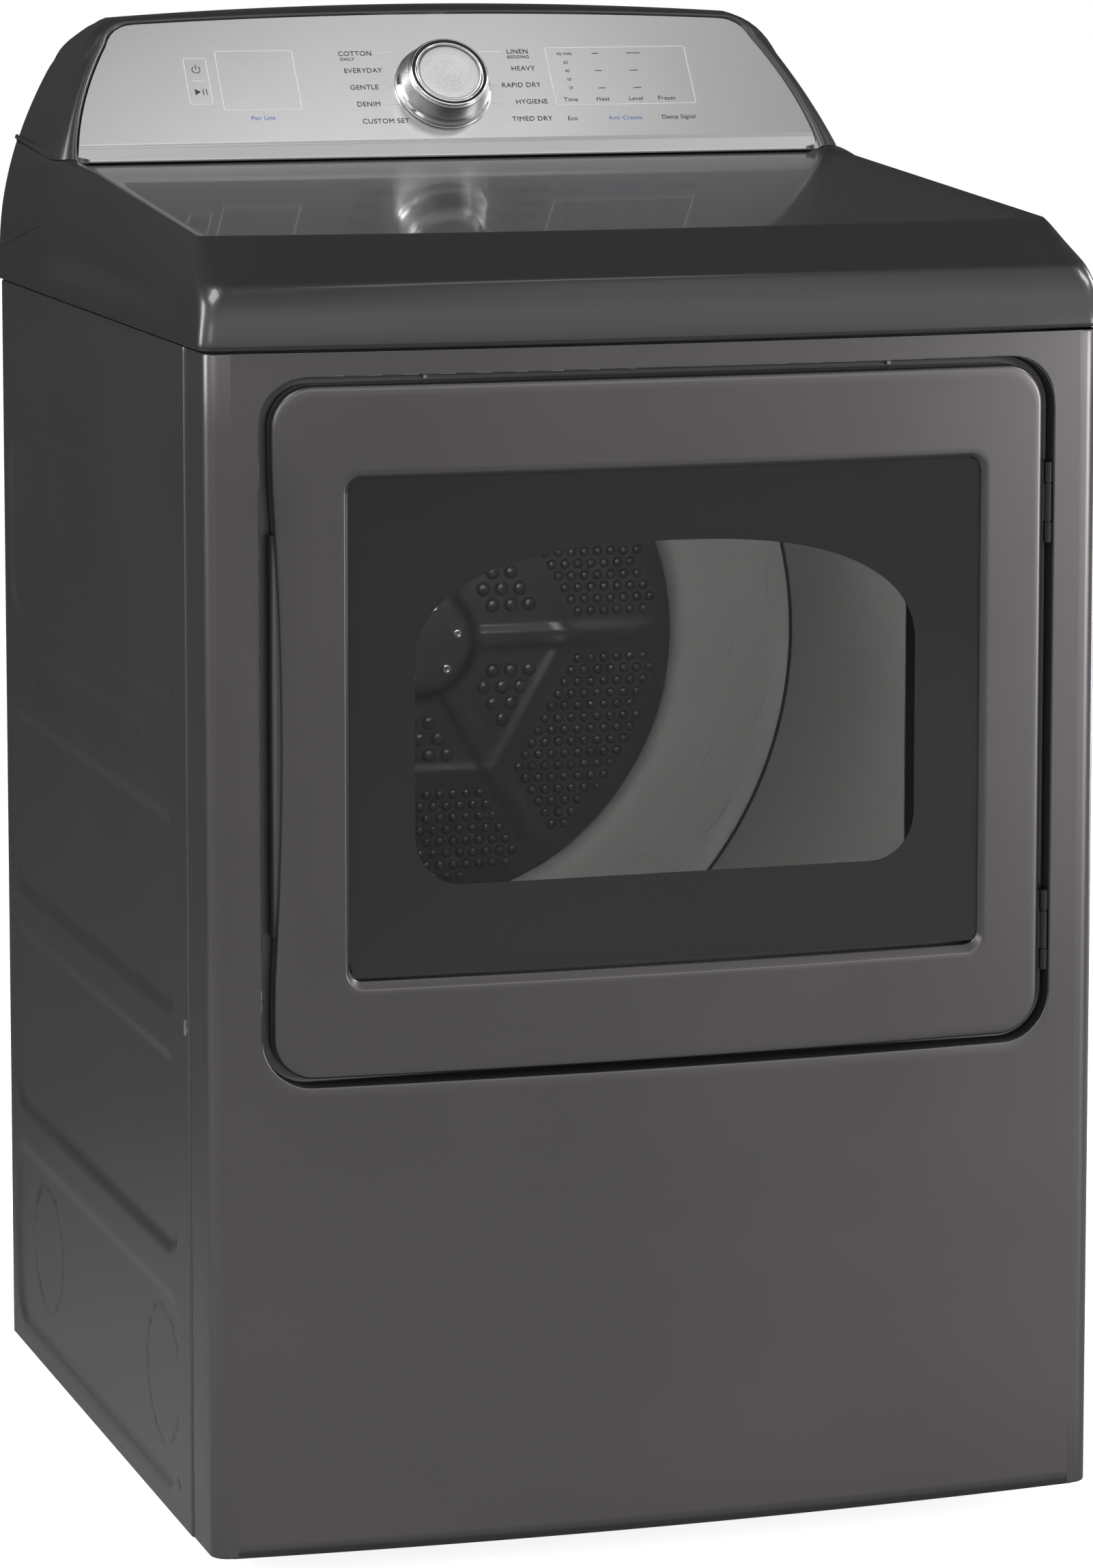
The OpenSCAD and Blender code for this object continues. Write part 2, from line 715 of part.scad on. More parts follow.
module motor_body() color("dimgray") difference() {
  union() {
    rod_y(motor_x, motor_z, 68, 185, 295);
    rod_y(motor_x, motor_z, 50, 175, 305);
  }
  rod_y(motor_x, motor_z, 26, 180, 300);
  rod_y(motor_x, motor_z, rotor_r + fit, 170, 310);
}

module motor_rotor() color("silver") {
  rod_y(motor_x, motor_z, rotor_r, 112, 350);
  rod_y(motor_x, motor_z, 25, 190, 290);
  difference() {
    rod_y(motor_x, motor_z, pulley_r + 3, belt_y - 9, belt_y + 9);
    tube_y(motor_x, motor_z, pulley_r + 5, pulley_r, belt_y - 6, belt_y + 6);
    rod_y(motor_x, motor_z, rotor_r - eps, 300, 360);
  }
}

module motor_bracket() color("gray") {
  difference() {
    union() {
      for (y = [178, 299]) box(motor_x - 60, y, 9.5, motor_x + 60, y + 3, motor_z);
      box(motor_x - 60, 178, 9.5, motor_x + 60, 302, 12.5);
    }
    rod_y(motor_x, motor_z, 50, 170, 310);
  }
  difference() {
    box(arm_x - 14, 349, 9.5, arm_x + 14, 352, arm_z + 14);
    rod_y(arm_x, arm_z, 4, 340, 360);
  }
  box(arm_x - 14, 352, 9.5, arm_x + 14, 372, 12.5);
  rod_y(arm_x, arm_z, 4, 343.5, 352);
}

module idler_arm() color("silver") difference() {
  union() {
    hull() {
      rod_y(arm_x, arm_z, 9, 344, 348.5, $fn = 32);
      rod_y(idler_x, idler_z, 7, 344, 348.5, $fn = 32);
    }
    rod_y(idler_x, idler_z, 3, 331, 348.5);
  }
  rod_y(arm_x, arm_z, 4 + fit, 340, 352);
}

module idler_pulley() color("white") difference() {
  rod_y(idler_x, idler_z, idler_r, belt_y - 5.5, belt_y + 5.5);
  rod_y(idler_x, idler_z, 3 + fit, belt_y - 8, belt_y + 8);
}

// Loop around the drum and the motor pulley
module drive_belt() color("black") along_y(belt_y - belt_w / 2, belt_y + belt_w / 2) difference() {
  hull() {
    translate([0, drum_z]) circle(shell_r + belt_gap + belt_t, $fn = 160);
    translate([motor_x, motor_z]) circle(pulley_r + belt_gap + belt_t, $fn = 32);
  }
  hull() {
    translate([0, drum_z]) circle(shell_r + belt_gap, $fn = 160);
    translate([motor_x, motor_z]) circle(pulley_r + belt_gap, $fn = 32);
  }
}

// ---------------------------------------------------------------- electrics and fasteners

module terminal_block() color("saddlebrown") difference() {
  box(inlet_x - 35, 655, 165, inlet_x + 35, rear_y, 195);
  for (x = [-275:20:-235]) rod_y(x + 5, 180, 3, 650, 670);
}

module terminal_cover() color("gray") difference() {
  box(inlet_x - 40, cab_d, inlet_z, inlet_x + 40, cab_d + 35, 205);
  box(inlet_x - 38.5, cab_d - 1, inlet_z + 1.5, inlet_x + 38.5, cab_d + 33.5, 203.5);
  rod_z(inlet_x, cab_d + 17.5, inlet_r, inlet_z - 5, inlet_z + 5);
}

module thermostats() color("beige") {
  for (x = [-120, 120]) rod_y(x, drum_z + 200, 12, heater_y1, heater_y1 + 8);
  rod_z(0, 300, 10, duct_z + duct_r, duct_z + duct_r + 14);
}

module cabinet_screws() color("silver") {
  for (s = [-1, 1]) {
    for (z = [60, 300, 580, 840]) rod_y(s * 334, z, 4, cab_d, cab_d + 2.5);
    rod_y(s * 178, rec_z1 - 3, 1.6, rec_floor - 3, rec_floor);
  }
}

module side_bumpers() color("silver") for (s = [-1, 1]) {
  rod_x(66, 379, 3.4, s * half - (s < 0 ? 2.4 : 0), s * half + (s < 0 ? 0 : 2.4));
  box(s * half - (s < 0 ? 2.4 : 0), 63.6, 379, s * half + (s < 0 ? 0 : 2.4), 68.4, 387);
}

module foot(x, y) color("black") {
  translate([x, y, -foot_gap]) cylinder(h = 7, r1 = 19, r2 = 16);
  rod_z(x, y, stem_r, -foot_gap + 6, 22);
  translate([x, y, -foot_gap + 7]) cylinder(h = 6, r = 9, $fn = 6);
}

place() base_pan();
place() side_panel_left();
place() side_panel_right();
place() rear_panel();
place() front_panel();
place() top_cover();
place() console_housing();
place() console_rear_cover();
place() control_fascia();
place() control_windows();
place() control_board();
place() knob_encoder();
place() front_bulkhead();
place() door_throat();
place() drum_seal();
place() drum_glides();
place() heater_housing();
place() heater_coil();
place() rear_bearing();
place() lint_duct();
place() blower_housing();
place() exhaust_duct();
place() motor_body();
place() motor_bracket();
place() drive_belt();
place() terminal_block();
place() terminal_cover();
place() thermostats();
place() drum_lamp();
place() moisture_sensor_bars();
place() door_switch_body();
place() door_catch();
place() cabinet_hinges();
place() cabinet_screws();
place() side_bumpers();
place() door_outer_panel();
place() door_glass();
place() door_inner_liner();
place() door_inner_glass();
place() door_gasket();
place() door_hinges();
place() door_strike();
place() handle_insert();
place() knob_grip();
place() knob_ring();
place() knob_cap();
place() drum_shell();
place() drum_rear_plate();
place() drum_baffles();
place() drum_shaft();
place() motor_rotor();
place() blower_wheel();
place() idler_arm();
place() idler_pulley();
place() lint_filter();
place() switch_plunger();
place() foot(-foot_x, foot_ys[0]);  // foot_front_left
place() foot(foot_x, foot_ys[0]);  // foot_front_right
place() foot(-foot_x, foot_ys[1]);  // foot_rear_left
place() foot(foot_x, foot_ys[1]);  // foot_rear_right
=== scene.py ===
"""Looks of the front-loading clothes dryer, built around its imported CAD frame."""
import json
from math import atan, atan2, cos, degrees, dist, hypot, pi, radians, sin, tan

import bpy
from mathutils import Matrix, Vector


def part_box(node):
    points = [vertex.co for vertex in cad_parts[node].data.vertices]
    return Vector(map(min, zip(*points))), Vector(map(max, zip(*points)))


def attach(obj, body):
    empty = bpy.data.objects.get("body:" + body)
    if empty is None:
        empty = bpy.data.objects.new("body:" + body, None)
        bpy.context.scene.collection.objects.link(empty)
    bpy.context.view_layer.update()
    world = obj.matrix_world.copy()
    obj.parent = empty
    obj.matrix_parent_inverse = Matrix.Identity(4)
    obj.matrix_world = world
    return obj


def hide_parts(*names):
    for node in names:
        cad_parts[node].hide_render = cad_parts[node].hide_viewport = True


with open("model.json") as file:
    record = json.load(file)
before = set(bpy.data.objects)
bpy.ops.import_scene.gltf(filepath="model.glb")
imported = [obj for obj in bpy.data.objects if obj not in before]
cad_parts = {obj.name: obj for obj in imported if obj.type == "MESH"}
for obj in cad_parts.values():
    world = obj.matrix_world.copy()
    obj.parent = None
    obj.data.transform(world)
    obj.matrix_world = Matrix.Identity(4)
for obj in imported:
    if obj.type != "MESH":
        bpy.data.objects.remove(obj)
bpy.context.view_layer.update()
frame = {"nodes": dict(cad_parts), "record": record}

# ---- frame
# Sizes are in millimetres in the cabinet's own frame: Y = 0 at its front corners and
# Z = 0 at its lower edge. at() turns such a point into the row frame, in metres.
MM = 0.001
BOW = 16.5
FRONT_LO, FRONT_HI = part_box("front_panel")
SIDE_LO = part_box("side_panel_left")[0]
Y0 = FRONT_LO.y / MM + BOW
Z0 = FRONT_LO.z / MM
HALF = -SIDE_LO.x / MM
SEAM_Y = SIDE_LO.y / MM - Y0
REAR_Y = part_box("rear_panel")[0].y / MM - Y0 + 1
CAB_H = FRONT_HI.z / MM - Z0
DRUM_LO, DRUM_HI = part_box("drum_shell")
DRUM_Z = (DRUM_LO.z + DRUM_HI.z) / 2 / MM - Z0
DRUM_R = (DRUM_HI.x - DRUM_LO.x) / 2 / MM - 1
DRUM_Y0 = DRUM_LO.y / MM - Y0
DRUM_Y1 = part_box("drum_rear_plate")[1].y / MM - Y0


def at(x, y, z):
    """Row-frame point, in metres, of a cabinet-frame point in millimetres."""
    return Vector((x * MM, (y + Y0) * MM, (z + Z0) * MM))


def mix(a, b, t):
    return a + (b - a) * t


def smooth(low, high, value):
    """Smooth step from 0 at low to 1 at high."""
    t = min(1.0, max(0.0, (value - low) / (high - low)))
    return t * t * (3 - 2 * t)


def bow(x, _z=0.0):
    """Depth of the cabinet's bowed front at x, the same at every height."""
    return -BOW * (1 - (x / HALF) ** 2)


# ---- materials
def new_material(name):
    """A material, its node tree and its Principled shader."""
    mat = bpy.data.materials.new(name)
    mat.use_nodes = True
    return mat, mat.node_tree, mat.node_tree.nodes["Principled BSDF"]


def feed(tree, node, values):
    """Gives a node's inputs their values. A value that is itself a socket is linked."""
    for key, value in values.items():
        if isinstance(value, bpy.types.NodeSocket):
            tree.links.new(value, node.inputs[key])
        else:
            node.inputs[key].default_value = value


def add_node(tree, kind, output, values=None, **settings):
    """One output of a new shader node, with some of its settings and inputs given."""
    node = tree.nodes.new("ShaderNode" + kind)
    for key, value in settings.items():
        setattr(node, key, value)
    feed(tree, node, values or {})
    return node.outputs[output]


def noise(tree, scale, detail=3.0, stretch=(1, 1, 1)):
    """Noise in object space, stretched along chosen axes."""
    place = add_node(tree, "TexCoord", "Object")
    place = add_node(tree, "Mapping", "Vector", {"Vector": place, "Scale": stretch})
    return add_node(tree, "TexNoise", "Fac", {"Vector": place, "Scale": scale, "Detail": detail})


def shades(tree, colour, spread, source):
    """A colour that runs from a darker to a lighter shade with its source."""
    ramp = tree.nodes.new("ShaderNodeValToRGB")
    stops = zip(ramp.color_ramp.elements, (0.3, 0.7), (1 - spread, 1 + spread))
    for stop, position, shade in stops:
        stop.position = position
        stop.color = (*[min(1, c * shade) for c in colour], 1)
    feed(tree, ramp, {"Fac": source})
    return ramp.outputs["Color"]


def ranged(tree, low, high, source):
    """A value that runs from low to high as its source runs from 0 to 1."""
    return add_node(tree, "MapRange", "Result", {"Value": source, "To Min": low, "To Max": high})


def bump(tree, source, distance, strength=0.4):
    return add_node(tree, "Bump", "Normal",
                    {"Height": source, "Strength": strength, "Distance": distance})


def blend_shaders(tree, output, factor, first, second):
    """Joins a blend of two shaders to the output; where factor is 1 only the second shows."""
    blend = add_node(tree, "MixShader", "Shader", {"Fac": factor, 1: first, 2: second})
    feed(tree, tree.nodes[output], {"Surface": blend})


def surface(name, colour, rough, metal=0.0, coat=0.0, spread=0.08, grain=900, relief=2e-5,
            stretch=(1, 1, 1), cloud=4.0, rough_spread=0.05, coat_rough=0.12, shine=0.5):
    """Painted, moulded or plain metal surface: cloudy colour, fine grain, varied roughness."""
    mat, tree, shader = new_material(name)
    clouds = noise(tree, cloud)
    fine = noise(tree, grain, 2.0, stretch)
    both = add_node(tree, "Math", 0, {0: fine, 1: 0.5}, operation="MULTIPLY")
    both = add_node(tree, "Math", 0, {0: clouds, 1: 0.5, 2: both}, operation="MULTIPLY_ADD")
    feed(tree, shader, {
        "Base Color": shades(tree, colour, spread, both),
        "Roughness": ranged(tree, rough - rough_spread, rough + rough_spread, clouds),
        "Metallic": metal, "Coat Weight": coat, "Coat Roughness": coat_rough,
        "Specular IOR Level": shine, "Normal": bump(tree, fine, relief)})
    return mat


def tinted_glass(name, tint, clear_share, rough=0.03):
    """Thin glass: light passes with a tint, and a glossy skin reflects."""
    mat, tree, shader = new_material(name)
    feed(tree, shader, {"Base Color": (0.02, 0.02, 0.02, 1),
                        "Roughness": ranged(tree, rough, rough + 0.04, noise(tree, 14))})
    clear = add_node(tree, "BsdfTransparent", "BSDF", {"Color": (*tint, 1)})
    skin = add_node(tree, "LayerWeight", "Fresnel", {"Blend": 0.25})
    blend_shaders(tree, "Material Output", ranged(tree, 1 - clear_share, 1.0, skin), clear,
                  shader.outputs["BSDF"])
    return mat


def spun_metal(name, colour, centre, normal, rough):
    """Metal turned on a lathe: fine rings about a centre line."""
    mat, tree, shader = new_material(name)
    place = add_node(tree, "TexCoord", "Object")
    place = add_node(tree, "VectorMath", "Vector", {0: place, 1: centre}, operation="SUBTRACT")
    place = add_node(tree, "VectorMath", "Vector", {0: place, 1: normal},
                     operation="CROSS_PRODUCT")
    radius = add_node(tree, "VectorMath", "Value", {0: place}, operation="LENGTH")
    grain = tree.nodes.new("ShaderNodeTexNoise")
    grain.noise_dimensions = "1D"
    feed(tree, grain, {"W": radius, "Scale": 1400, "Detail": 3})
    rings = grain.outputs["Fac"]
    feed(tree, shader, {
        "Base Color": shades(tree, colour, 0.16, rings), "Metallic": 1.0,
        "Roughness": ranged(tree, rough - 0.06, rough + 0.08, rings),
        "Normal": bump(tree, rings, 6e-5, 0.5)})
    return mat


def brushed(name, colour, rough, stretch, metal, scale=60, relief=3e-5):
    """Metal brushed along one direction, given by the least stretched axis."""
    return surface(name, colour, rough, metal, 0.0, 0.06, scale, relief, stretch, 3.0)


FASCIA_LEAN = radians(36.05)
UP_SLOPE = Vector((0, sin(FASCIA_LEAN), cos(FASCIA_LEAN)))
OUT_OF_FASCIA = Vector((0, -cos(FASCIA_LEAN), sin(FASCIA_LEAN)))
knob_lo, knob_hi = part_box("knob_cap")
KNOB_CENTRE = (knob_lo + knob_hi) / 2

MATS = {
    "painted_body": surface("Body_paint", (0.160, 0.151, 0.155), 0.33, 0.82, 0.3, 0.05, 2600,
                            6e-6, coat_rough=0.2),
    "cover_plastic": surface("Cover_plastic", (0.062, 0.058, 0.060), 0.3, 0.5, 0.45, 0.05,
                             2200, 4e-6, coat_rough=0.05, shine=0.4),
    "galvanised": surface("Galvanised_sheet", (0.42, 0.43, 0.44), 0.42, 0.85, 0, 0.16, 60, 1e-5,
                          cloud=22),
    "fascia_silver": brushed("Fascia_silver", (0.57, 0.57, 0.575), 0.27, (1, 60, 60), 0.85,
                             relief=6e-6),
    "fascia_print": surface("Fascia_window", (0.57, 0.57, 0.575), 0.26, 0.85, 0, 0.03,
                            relief=5e-7),
    "chrome": surface("Chrome", (0.86, 0.86, 0.87), 0.08, 1.0, 0, 0.02, 400, 2e-6,
                      rough_spread=0.02),
    "knob_metal": brushed("Knob_metal", (0.58, 0.58, 0.59), 0.3, (1, 1, 1), 1.0, 700),
    "dark_glass": surface("Glass_border", (0.031, 0.030, 0.030), 0.16, 0.0, 0.4, 0.04, 500, 1e-6,
                          coat_rough=0.05),
    "clear_glass": tinted_glass("Inner_glass", (0.9, 0.9, 0.9), 0.93),
    "drum_steel": surface("Drum_coating", (0.365, 0.36, 0.357), 0.55, 0.15, 0, 0.05, 900, 1e-5),
    "dark_steel": surface("Dark_steel", (0.022, 0.022, 0.023), 0.5, 0.3, 0, 0.1, 700, 1e-5),
    "bare_steel": brushed("Bare_steel", (0.46, 0.46, 0.47), 0.32, (1, 30, 1), 1.0, 120),
    "white_plastic": surface("White_plastic", (0.62, 0.62, 0.60), 0.45, 0, 0, 0.04, 1500, 1e-5),
    "grey_plastic": surface("Grey_plastic", (0.20, 0.20, 0.205), 0.42, 0, 0, 0.05, 1500, 1e-5),
    "black_plastic": surface("Black_plastic", (0.02, 0.02, 0.021), 0.4, 0, 0, 0.1, 1500, 1e-5),
    "felt": surface("Felt", (0.38, 0.31, 0.22), 0.95, 0, 0, 0.25, 1300, 0.0003),
    "seal_rubber": surface("Seal_rubber", (0.025, 0.025, 0.026), 0.6, 0, 0, 0.12, 1200, 3e-5),
    "board": surface("Board", (0.02, 0.11, 0.04), 0.4, 0, 0.2, 0.2, 300, 2e-5),
    "heating_wire": surface("Heating_wire", (0.25, 0.20, 0.17), 0.5, 0.8, 0, 0.25, 300, 3e-5),
    "bronze": surface("Bronze", (0.42, 0.28, 0.12), 0.4, 0.9, 0, 0.15, 500, 2e-5),
}
PRINT_DARK = surface("Print_dark", (0.035, 0.035, 0.037), 0.5, 0, 0, 0.05)
PRINT_WHITE = surface("Print_white", (0.80, 0.80, 0.80), 0.5, 0, 0, 0.03)
PRINT_BLUE = surface("Print_blue", (0.16, 0.22, 0.52), 0.5, 0, 0, 0.05)
# Painted shade: a near-black colour, laid as thin sheets in creases, grooves and seams where
# shadow falls.
GROOVE_SHADE = surface("Groove_shadow", (0.012, 0.012, 0.012), 0.7, 0, 0, 0.1)
SMOKED = tinted_glass("Smoked_glass", (0.625, 0.62, 0.615), 0.72, 0.06)
SPUN = spun_metal("Spun_cap", (0.62, 0.62, 0.63), KNOB_CENTRE, OUT_OF_FASCIA, 0.26)
SKIRT = surface("Knob_skirt", (0.52, 0.52, 0.53), 0.28, 1.0, 0, 0.05, 900, 1e-5)
PLATE = surface("Drum_plate", (0.097, 0.095, 0.095), 0.36, 0.5, 0, 0.08, 500, 1e-5)
# Grey plastic darkened as painted shade, for the recessed finger pocket.
POCKET_SHADED = surface("Pocket_grey_shaded", (0.06, 0.058, 0.059), 0.4, 0.2, 0, 0.05, 1500, 1e-5)


# ---- mesh helpers
def add_object(name, data):
    """A new object, in the scene."""
    obj = bpy.data.objects.new(name, data)
    bpy.context.scene.collection.objects.link(obj)
    return obj


def piece(name, shape, body, slot, replaces=(), mat=None, flat=False):
    """A mesh piece that rides a CAD body, in its slot's material unless another is given.
    shape is (verts, faces), in row-frame metres."""
    verts, faces = shape
    mesh = bpy.data.meshes.new(name)
    mesh.from_pydata([tuple(v) for v in verts], [], faces)
    mesh.validate()
    mesh.update()
    mesh.polygons.foreach_set("use_smooth", [not flat] * len(mesh.polygons))
    mesh.materials.append(mat or MATS[slot])
    obj = add_object(name, mesh)
    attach(obj, body)
    if replaces:
        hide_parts(*replaces)
    return obj


def loft(rings, closed=True):
    """Vertices and faces of quads between rings that all have the same number of points."""
    count = len(rings[0])
    verts = [p for ring in rings for p in ring]
    faces = []
    for k in range(len(rings) - 1):
        for i in range(count if closed else count - 1):
            j = (i + 1) % count
            faces.append((k * count + i, k * count + j, (k + 1) * count + j, (k + 1) * count + i))
    return verts, faces


def capped(rings):
    """Closed loft with one face over its last ring."""
    verts, faces = loft(rings)
    faces.append(tuple(range(len(verts) - len(rings[-1]), len(verts))))
    return verts, faces


def flipped(shape):
    """A (verts, faces) pair with its faces turned over."""
    verts, faces = shape
    return verts, [tuple(reversed(face)) for face in faces]


def sheet(rows):
    """Open loft: its rows aren't joined round into rings."""
    return loft(rows, closed=False)


def join_parts(parts):
    """Several (verts, faces) pairs as one pair."""
    verts, faces = [], []
    for part_verts, part_faces in parts:
        base = len(verts)
        verts += part_verts
        faces += [tuple(base + i for i in face) for face in part_faces]
    return verts, faces


def thicken(obj, thickness):
    """Gives a sheet its thickness, in metres, behind its face."""
    solid = obj.modifiers.new("Sheet", "SOLIDIFY")
    solid.thickness = thickness
    solid.offset = -1


def rounded_ring(x0, z0, x1, z1, radii, per_side=20, per_corner=10):
    """Points (x, z) round a rectangle, from the middle of its lower right corner's start.
    radii are for lower right, upper right, upper left and lower left."""
    lr, ur, ul, ll = radii if isinstance(radii, (tuple, list)) else [radii] * 4
    corners = [(x1 - lr, z0 + lr, lr, -90), (x1 - ur, z1 - ur, ur, 0),
               (x0 + ul, z1 - ul, ul, 90), (x0 + ll, z0 + ll, ll, 180)]
    points = []
    for k, (cx, cz, r, start) in enumerate(corners):
        for i in range(per_corner + 1):
            a = radians(start + 90 * i / per_corner)
            points.append((cx + r * cos(a), cz + r * sin(a)))
        nx, nz, nr, nstart = corners[(k + 1) % 4]
        a = radians(nstart)
        end = (nx + nr * cos(a), nz + nr * sin(a))
        begin = points[-1]
        for i in range(1, per_side):
            t = i / per_side
            points.append((mix(begin[0], end[0], t), mix(begin[1], end[1], t)))
    return points


def grown_ring(box, radius, grow=0.0):
    """Rounded rectangle round a box (x0, z0, x1, z1), grown outwards all round."""
    x0, z0, x1, z1 = box
    return rounded_ring(x0 - grow, z0 - grow, x1 + grow, z1 + grow, radius + grow)


def blend_rings(a, b, t):
    return [(mix(p[0], q[0], t), mix(p[1], q[1], t)) for p, q in zip(a, b)]


def laid(ring, depth=0.0, face=None):
    """Row-frame points of a ring (x, z), at a depth behind a face or behind Y = 0."""
    return [at(x, depth + (face(x, z) if face else 0.0), z) for x, z in ring]


def lathe(profile, centre, axis, steps, radius_at=None):
    """Turns (radius, height) points about an axis through a row-frame centre."""
    axis = Vector(axis).normalized()
    side = Vector((1, 0, 0)) if abs(axis.x) < 0.9 else Vector((0, 0, 1))
    side = (side - axis * side.dot(axis)).normalized()
    other = axis.cross(side)
    rings = []
    for r, h in profile:
        ring = []
        for i in range(steps):
            a = 2 * pi * i / steps
            rr = radius_at(r, h, a) if radius_at else r
            ring.append(centre + (side * cos(a) + other * sin(a)) * rr * MM + axis * h * MM)
        rings.append(ring)
    return loft(rings)


# ---- front panel
DOOR_LO, DOOR_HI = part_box("door_outer_panel")
DOOR_X = DOOR_HI.x / MM
DOOR_Z0 = DOOR_LO.z / MM - Z0
DOOR_Z1 = DOOR_HI.z / MM - Z0
GAP = 8.5
REC_X = DOOR_X + GAP
REC_Z0 = DOOR_Z0 - 6
REC_Z1 = DOOR_Z1 + 6
REC_BOX = (-REC_X, REC_Z0, REC_X, REC_Z1)
REC_R = 37
REC_FLOOR = 12
FLOOR_INSET = 1.5
THROAT_LO, THROAT_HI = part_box("door_throat")
SIDES = ((-1, "left"), (1, "right"))
SCOOP_MID = (DOOR_Z0 + DOOR_Z1) / 2
SCOOP_SPAN = 186
SCOOP = 6.7
CORNER_R = 12


def scoop_at(z):
    """Share of the finger scoop's full depth at height z."""
    return max(0.0, 1 - ((z - SCOOP_MID) / SCOOP_SPAN) ** 2)


def front_face(x, z):
    """Depth of the front panel's face, with its finger scoop left of the door."""
    dip = 1.4 * smooth(-REC_X - 16, -REC_X - 2, x) * scoop_at(z) if x < 0 else 0
    return bow(x) + dip


def throat_ring(grow):
    """Opening between the front panel and the drum."""
    half = THROAT_HI.x / MM - 3 + grow
    z0 = THROAT_LO.z / MM - Z0 + 3 - grow
    z1 = THROAT_HI.z / MM - Z0 - 3 + grow
    return rounded_ring(-half, z0, half, z1, (60 + grow, 100 + grow, 100 + grow, 60 + grow))


def front_corner(sign):
    """Rounded vertical corner of the front panel, from its flat face back to the seam."""
    edge = HALF - CORNER_R
    flat = edge - 2
    slope = degrees(atan(8 * BOW * edge / (2 * HALF) ** 2))
    start = 270 + slope
    cy = bow(edge) + CORNER_R * cos(radians(slope))
    profile = [(flat - 4, bow(flat - 4) - 0.05), (flat, bow(flat) - 0.05),
               (edge - 1, bow(edge - 1))]
    for i in range(13):
        t = i / 12
        a = radians(start + (90 - slope) * t)
        shift = CORNER_R * cos(radians(start)) * (1 - t)
        profile.append((edge + CORNER_R * cos(a) - shift, cy + CORNER_R * sin(a)))
    profile += [(HALF, mix(cy, SEAM_Y - 2, t)) for t in (0.3, 0.7, 0.97)]
    profile += [(HALF - 0.25, SEAM_Y - 0.9), (HALF - 1.2, SEAM_Y - 0.4), (HALF - 6, SEAM_Y - 0.3)]
    pulls = [(0, 0.9), (0.4, 0.25), (1.5, 0)] + [(CAB_H * k / 16, 0) for k in range(1, 16)]
    pulls += [(CAB_H - 1.5, 0), (CAB_H - 0.4, 0.25), (CAB_H, 0.9)]
    strip = [[at(sign * (x - pull), y + pull * 0.6, z) for x, y in profile] for z, pull in pulls]
    shape = sheet(strip)
    return flipped(shape) if sign < 0 else shape


def build_front_panel():
    flat = HALF - CORNER_R - 2
    outer = rounded_ring(-flat, 0, flat, CAB_H, 0.6)
    hole = grown_ring(REC_BOX, REC_R)
    rings = [laid(rounded_ring(-flat, shrink, flat, CAB_H - shrink, 0.6), depth, bow)
             for shrink, depth in ((4.5, 16), (0.7, 1.5), (0.25, 0.4), (0, 0))]
    for t in (0.03, 0.06, 0.15, 0.35, 0.55, 0.7, 0.8, 0.87, 0.92, 0.95, 0.975):
        rings.append(laid(blend_rings(outer, hole, t), 0, front_face))
    for grow, depth in ((1.2, 0), (0.6, 0.12), (0.2, 0.5), (0, 1.2), (0, 3.2)):
        rings.append(laid(grown_ring(REC_BOX, REC_R, grow), depth, front_face))
    for rise, shrink in ((1.5, 0), (0.3, 0.4), (0, FLOOR_INSET)):
        rings.append(laid(grown_ring(REC_BOX, REC_R, -shrink), REC_FLOOR - rise))
    floor_edge = grown_ring(REC_BOX, REC_R, -FLOOR_INSET)
    for t in (0.03, 0.1, 0.9, 0.985, 1):
        rings.append(laid(blend_rings(floor_edge, throat_ring(0), t), REC_FLOOR))
    for depth in (0.6, 4):
        rings.append(laid(throat_ring(-depth * 0.3), REC_FLOOR + depth))
    shape = join_parts([loft(rings)] + [front_corner(sign) for sign, _ in SIDES])
    piece("Front_panel_shell", shape, "cabinet", "painted_body", ["front_panel"])


# ---- side panels
BEADS = ((105, 655, 615, 766), (105, 655, 385, 529), (105, 655, 203, 349), (105, 655, 20, 166))
SLOT_BEAD = (195, 565, 560, 587)
DIMPLES = ((102, 624), (109, 390), (106, 212), (100, 30))
KNOCKOUTS = ((553, 100), (158, 100))
KNOCKOUT_R = 52
GRID_STEP = 4.0


def box_distance(y, z, y0, y1, z0, z1, r):
    """Signed distance to a rounded rectangle, negative inside it."""
    cy, cz = (y0 + y1) / 2, (z0 + z1) / 2
    qy = abs(y - cy) - (y1 - y0) / 2 + r
    qz = abs(z - cz) - (z1 - z0) / 2 + r
    outside = hypot(max(qy, 0), max(qz, 0))
    return outside + min(max(qy, qz), 0) - r


def side_relief(y, z):
    """How far the pressed side panel stands back from its flat face."""
    depth = 0.0
    for y0, y1, z0, z1 in BEADS:
        share = (z - (z0 + z1) / 2) / ((z1 - z0) / 2)
        bulge = 9 * (1 - share ** 2) if z0 < z < z1 else 0
        distance = box_distance(y, z, y0, y1 + bulge * 0.6, z0, z1, 26)
        depth = max(depth, 3.0 * smooth(5, -5, distance))
    depth = max(depth, 1.1 * smooth(3.5, -3.5, box_distance(y, z, *SLOT_BEAD, 12)))
    for cy, cz in KNOCKOUTS:
        depth += 0.9 * smooth(2.4, 0, abs(hypot(y - cy, z - cz) - KNOCKOUT_R))
    for cy, cz in DIMPLES:
        along = (y - cy) * 0.45 + (z - cz) * 0.9
        across = (y - cy) * 0.9 - (z - cz) * 0.45
        depth += 1.6 * smooth(1, 0, hypot(along / 9, across / 3.2))
    return depth


def grid_levels(low, high, first, last):
    """Even levels from low to high, with closer ones at distances first and last from them."""
    even = [low + 4 + GRID_STEP * k for k in range(int((high - low - 8) / GRID_STEP))]
    return [low + e for e in first] + even + [high - e for e in last]


